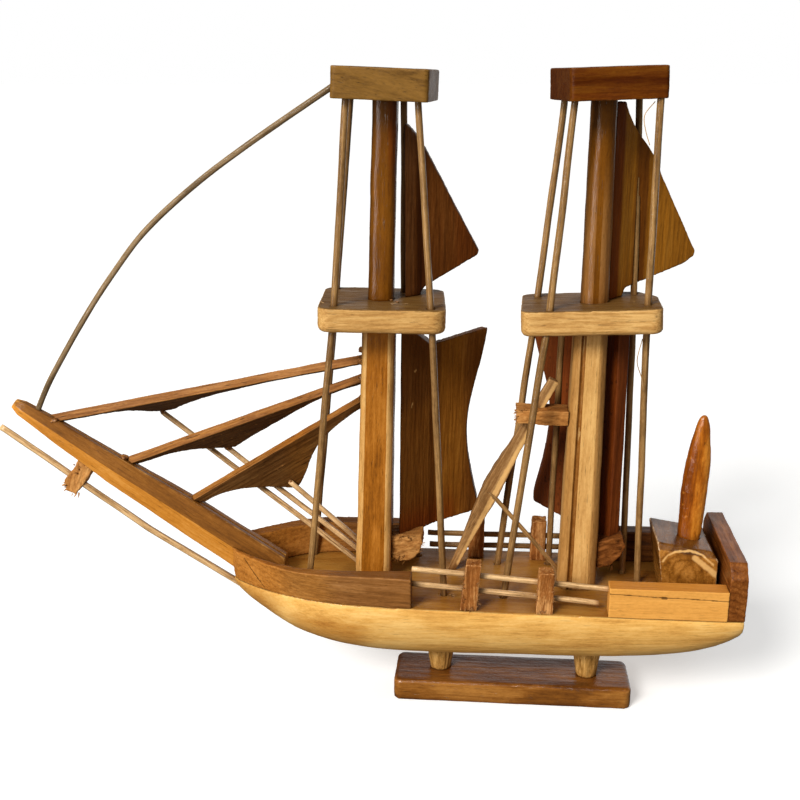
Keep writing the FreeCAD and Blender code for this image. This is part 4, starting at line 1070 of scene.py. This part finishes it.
# ---------------------------------------------------------------- sticks
# node: route in millimetres, radius
STICKS = {
    "bobstay_rod": (
        ((-206.5, -1.5, 107.4), (-176, -1.5, 85.6), (-148.9, -1.3, 66.2), (-109.5, -1, 41.2)), 1.3),
    "shroud_fore_port_fwd": (((-65, -13, 236.6), (-70.4, -17.2, 157.4), (-81.7, -18.6, 44.8)), 1.3),
    "shroud_fore_port_aft": (((-39.9, -13, 236.6), (-34.4, -17.3, 156.8), (-28.6, -15, 44.8)), 1.3),
    "shroud_fore_stbd_fwd": (((-66.6, 13, 236.6), (-74, 17.4, 157.4), (-85.1, 20, 44.8)), 1.3),
    "shroud_fore_stbd_aft": (((-46.8, 13, 236.6), (-46.9, 15, 157), (-41.5, 21, 44.8)), 1.3),
    "shroud_main_port_fwd": (((14.6, -13, 237.4), (7.7, -15, 156.6), (-6.3, -15.8, 44.8)), 1.3),
    "shroud_main_port_aft": (((43, -14.5, 237.6), (43.3, -9.6, 158.2), (47.2, 3, 44.8)), 1.3),
    "shroud_main_stbd_fwd": (((12.4, 13, 237.4), (4.2, 12.6, 156.6), (-8.8, 16.3, 44.8)), 1.3),
    "shroud_main_stbd_aft": (((38.8, 13, 238), (40.9, 12.6, 158.2), (42.2, 11.6, 44.8)), 1.3),
    "shroud_main_inner": (((14.3, 12, 156), (12.6, 18.2, 44.8)), 1.3),
    "rail_port_upper": (((-40.6, -24.6, 62.6), (34.8, -24.6, 57.5)), 1.15),
    "rail_port_lower": (((-40.6, -24.6, 56.8), (29.7, -24.6, 51.4)), 1.15),
    "rail_stbd_upper": (((-37.6, 25, 57.3), (34.8, 25.6, 57.2)), 1.15),
    "rail_stbd_lower": (((-36.8, 25, 52.2), (34.8, 25.6, 52.6)), 1.15),
    "jib_sheet_outer": (((-146.5, 18, 109.4), (-62, 0.4, 52.4)), 1.1),
    "jib_sheet_middle": (((-119.6, 15.4, 95.8), (-62, 1.4, 57)), 1.1),
    "jib_sheet_inner": (((-92.3, 6.6, 85), (-62, 2.4, 60.2)), 1.1),
    "staysail_sheet": (((-12.6, 5, 84.2), (18, 3, 49.6)), 0.9),
}
# the forestay: steep at the bowsprit and flatter toward the cap
FORESTAY = (
    (-193, 0, 110.5), (-185, 0, 127), (-171, 0, 149.5), (-156.5, 0, 170), (-142.5, 0, 186.5),
    (-121.5, 0, 204.5), (-95, 0, 223), (-66.5, 0, 241.5),
)
PALE_STICKS = ("bobstay_rod", "rail_port_upper", "rail_port_lower", "jib_sheet_outer", "jib_sheet_middle",
               "jib_sheet_inner")
for number, (node, (route, radius)) in enumerate(STICKS.items()):
    material = PALE_BAMBOO if node in PALE_STICKS else BAMBOO
    cane("stick_" + node, route, radius, material, number + 3, node=node)
cane("stick_forestay", smooth_route(FORESTAY, 8), 1.15, CANE, 41, wobble=0.05, node="forestay")

# ---------------------------------------------------------------- glue, torn fibres and loose slivers
JIB_TACKS = ((-187, -0.4, 110.9), (-184.8, -0.8, 110.3), (-160.3, -0.6, 94.4), (-158, 0.6, 95.2),
             (-134.6, -0.6, 78.6), (-132, -1, 78.4))
JIB_HEADS = ((-61.6, -0.8, 137.2), (-61.9, -0.8, 130), (-61.8, -0.8, 122.4), (-62, 0.8, 141.2))
MAST_FEET = ((-50, -4, 161.6), (-47.6, -6.4, 161.4), (30.8, -3.4, 161.4), (33, -5.2, 161.2))
lump("glue_jib_tacks", JIB_TACKS, 1.6, 0.55, GLUE, 5)
lump("glue_jib_heads", JIB_HEADS, 1.5, 0.9, GLUE, 6)
lump("glue_topmast_feet", MAST_FEET, 0.8, 0.4, GLUE, 7)
lump("glue_clews", ((-145.8, 16, 110), (-118.8, 14.2, 96.2), (-92, 6.4, 85.2)), 1.2, 0.9, GLUE, 8)

tufts("torn_fibres_chock", (
    ((-181, -3.4, 84.5), (-1, -0.3, -0.2), 7, (0.8, 0.6, 2.4)),
    ((-176.5, -3.8, 91), (-0.6, -0.8, 0.3), 5, (2.2, 0.4, 2)),
    ((-177, -3.4, 81), (0, -0.3, -1), 4, (2.2, 0.6, 0.6)),
), 1.5, 0.42, OFFCUT, 21)
tufts("torn_fibres_bracket", (
    ((-2.6, -4.6, 118), (-1, -0.2, 0.1), 16, (0.4, 1, 2.2)),
    ((2, -5.2, 120.4), (-0.3, -0.5, 0.8), 8, (3.5, 0.4, 0.4)),
), 1.3, 0.26, OFFCUT, 22)
tufts("torn_fibres_fore_saddle", (
    ((-47.5, -2.6, 57.5), (-0.7, -0.4, -0.6), 22, (3, 0.6, 1.4)),
    ((-44.5, -2.8, 66), (0.1, -0.4, 0.9), 14, (3, 0.8, 0.8)),
    ((-39, -2.8, 62), (0.9, -0.4, 0.2), 8, (0.6, 0.8, 2)),
), 1.8, 0.20, SADDLE, 23)
tufts("torn_fibres_main_saddle", (
    ((33, -2.6, 57.5), (-0.3, -0.4, -0.8), 16, (4, 0.6, 1.2)),
    ((38.5, -2.8, 66), (0.5, -0.4, 0.7), 14, (1.6, 0.8, 2)),
), 1.6, 0.20, AFT_SADDLE, 24)
for number, (word, x, top) in enumerate((("fwd", -18.2, 66.4), ("aft", 9.6, 64.2))):
    tufts("torn_fibres_post_" + word, (
        ((x - 2.6, -29, 57), (-0.6, -0.5, 0.4), 12, (0.5, 0.4, 6)),
        ((x + 2.6, -29, 55), (0.6, -0.5, 0.4), 12, (0.5, 0.4, 5)),
        ((x, -27, top), (0.1, -0.2, 1), 10, (2.2, 2, 0.3)),
        ((x, -29.2, 49.4), (0, -0.6, -0.8), 10, (2.6, 0.3, 0.8)),
    ), 1.3, 0.17, RAIL_POST, 25 + number)
tufts("deck_shavings", (
    ((-76.5, -17.5, 48.7), (0.8, -0.4, 0.4), 6, (2.4, 1.2, 0.1)),
    ((-27, -16.5, 48.7), (0.7, -0.5, 0.3), 4, (1.6, 1, 0.1)),
), 2, 0.28, PALE_BAMBOO, 31)
tufts("platform_shavings", (
    ((-47, -9, 161.3), (0.8, -0.4, 0.15), 6, (3, 2, 0.1)),
    ((34.5, -7.5, 161.6), (0.6, -0.7, 0.25), 5, (1.8, 1.4, 0.1)),
    ((38, -3, 162), (0.2, -0.7, 0.5), 3, (1.2, 1.4, 0.1)),
    ((-73.5, -12, 161.4), (-0.9, -0.2, 0.2), 3, (1, 1.4, 0.1)),
), 2.2, 0.26, PALE_BAMBOO, 32)
tufts("sail_foot_shavings", (
    ((-42.5, -3, 151.2), (0.7, -0.4, -0.5), 6, (3, 1.2, 0.5)),
), 1.8, 0.3, PALE_BAMBOO, 33)

# two long stray fibres hang off the main shrouds
HAIR_TOP = ((41, -15, 233.5), (37.6, -16, 229), (38.2, -16, 224), (40, -15, 219))
HAIR_LOW = ((42, -10.5, 150), (40.4, -11.4, 142), (42.4, -11, 135.5), (43.6, -9, 130))
cane("stray_fibre_top", smooth_route(HAIR_TOP, 6), 0.16, PALE_BAMBOO, 51, wobble=0.02)
cane("stray_fibre_low", smooth_route(HAIR_LOW, 6), 0.16, PALE_BAMBOO, 52, wobble=0.02)
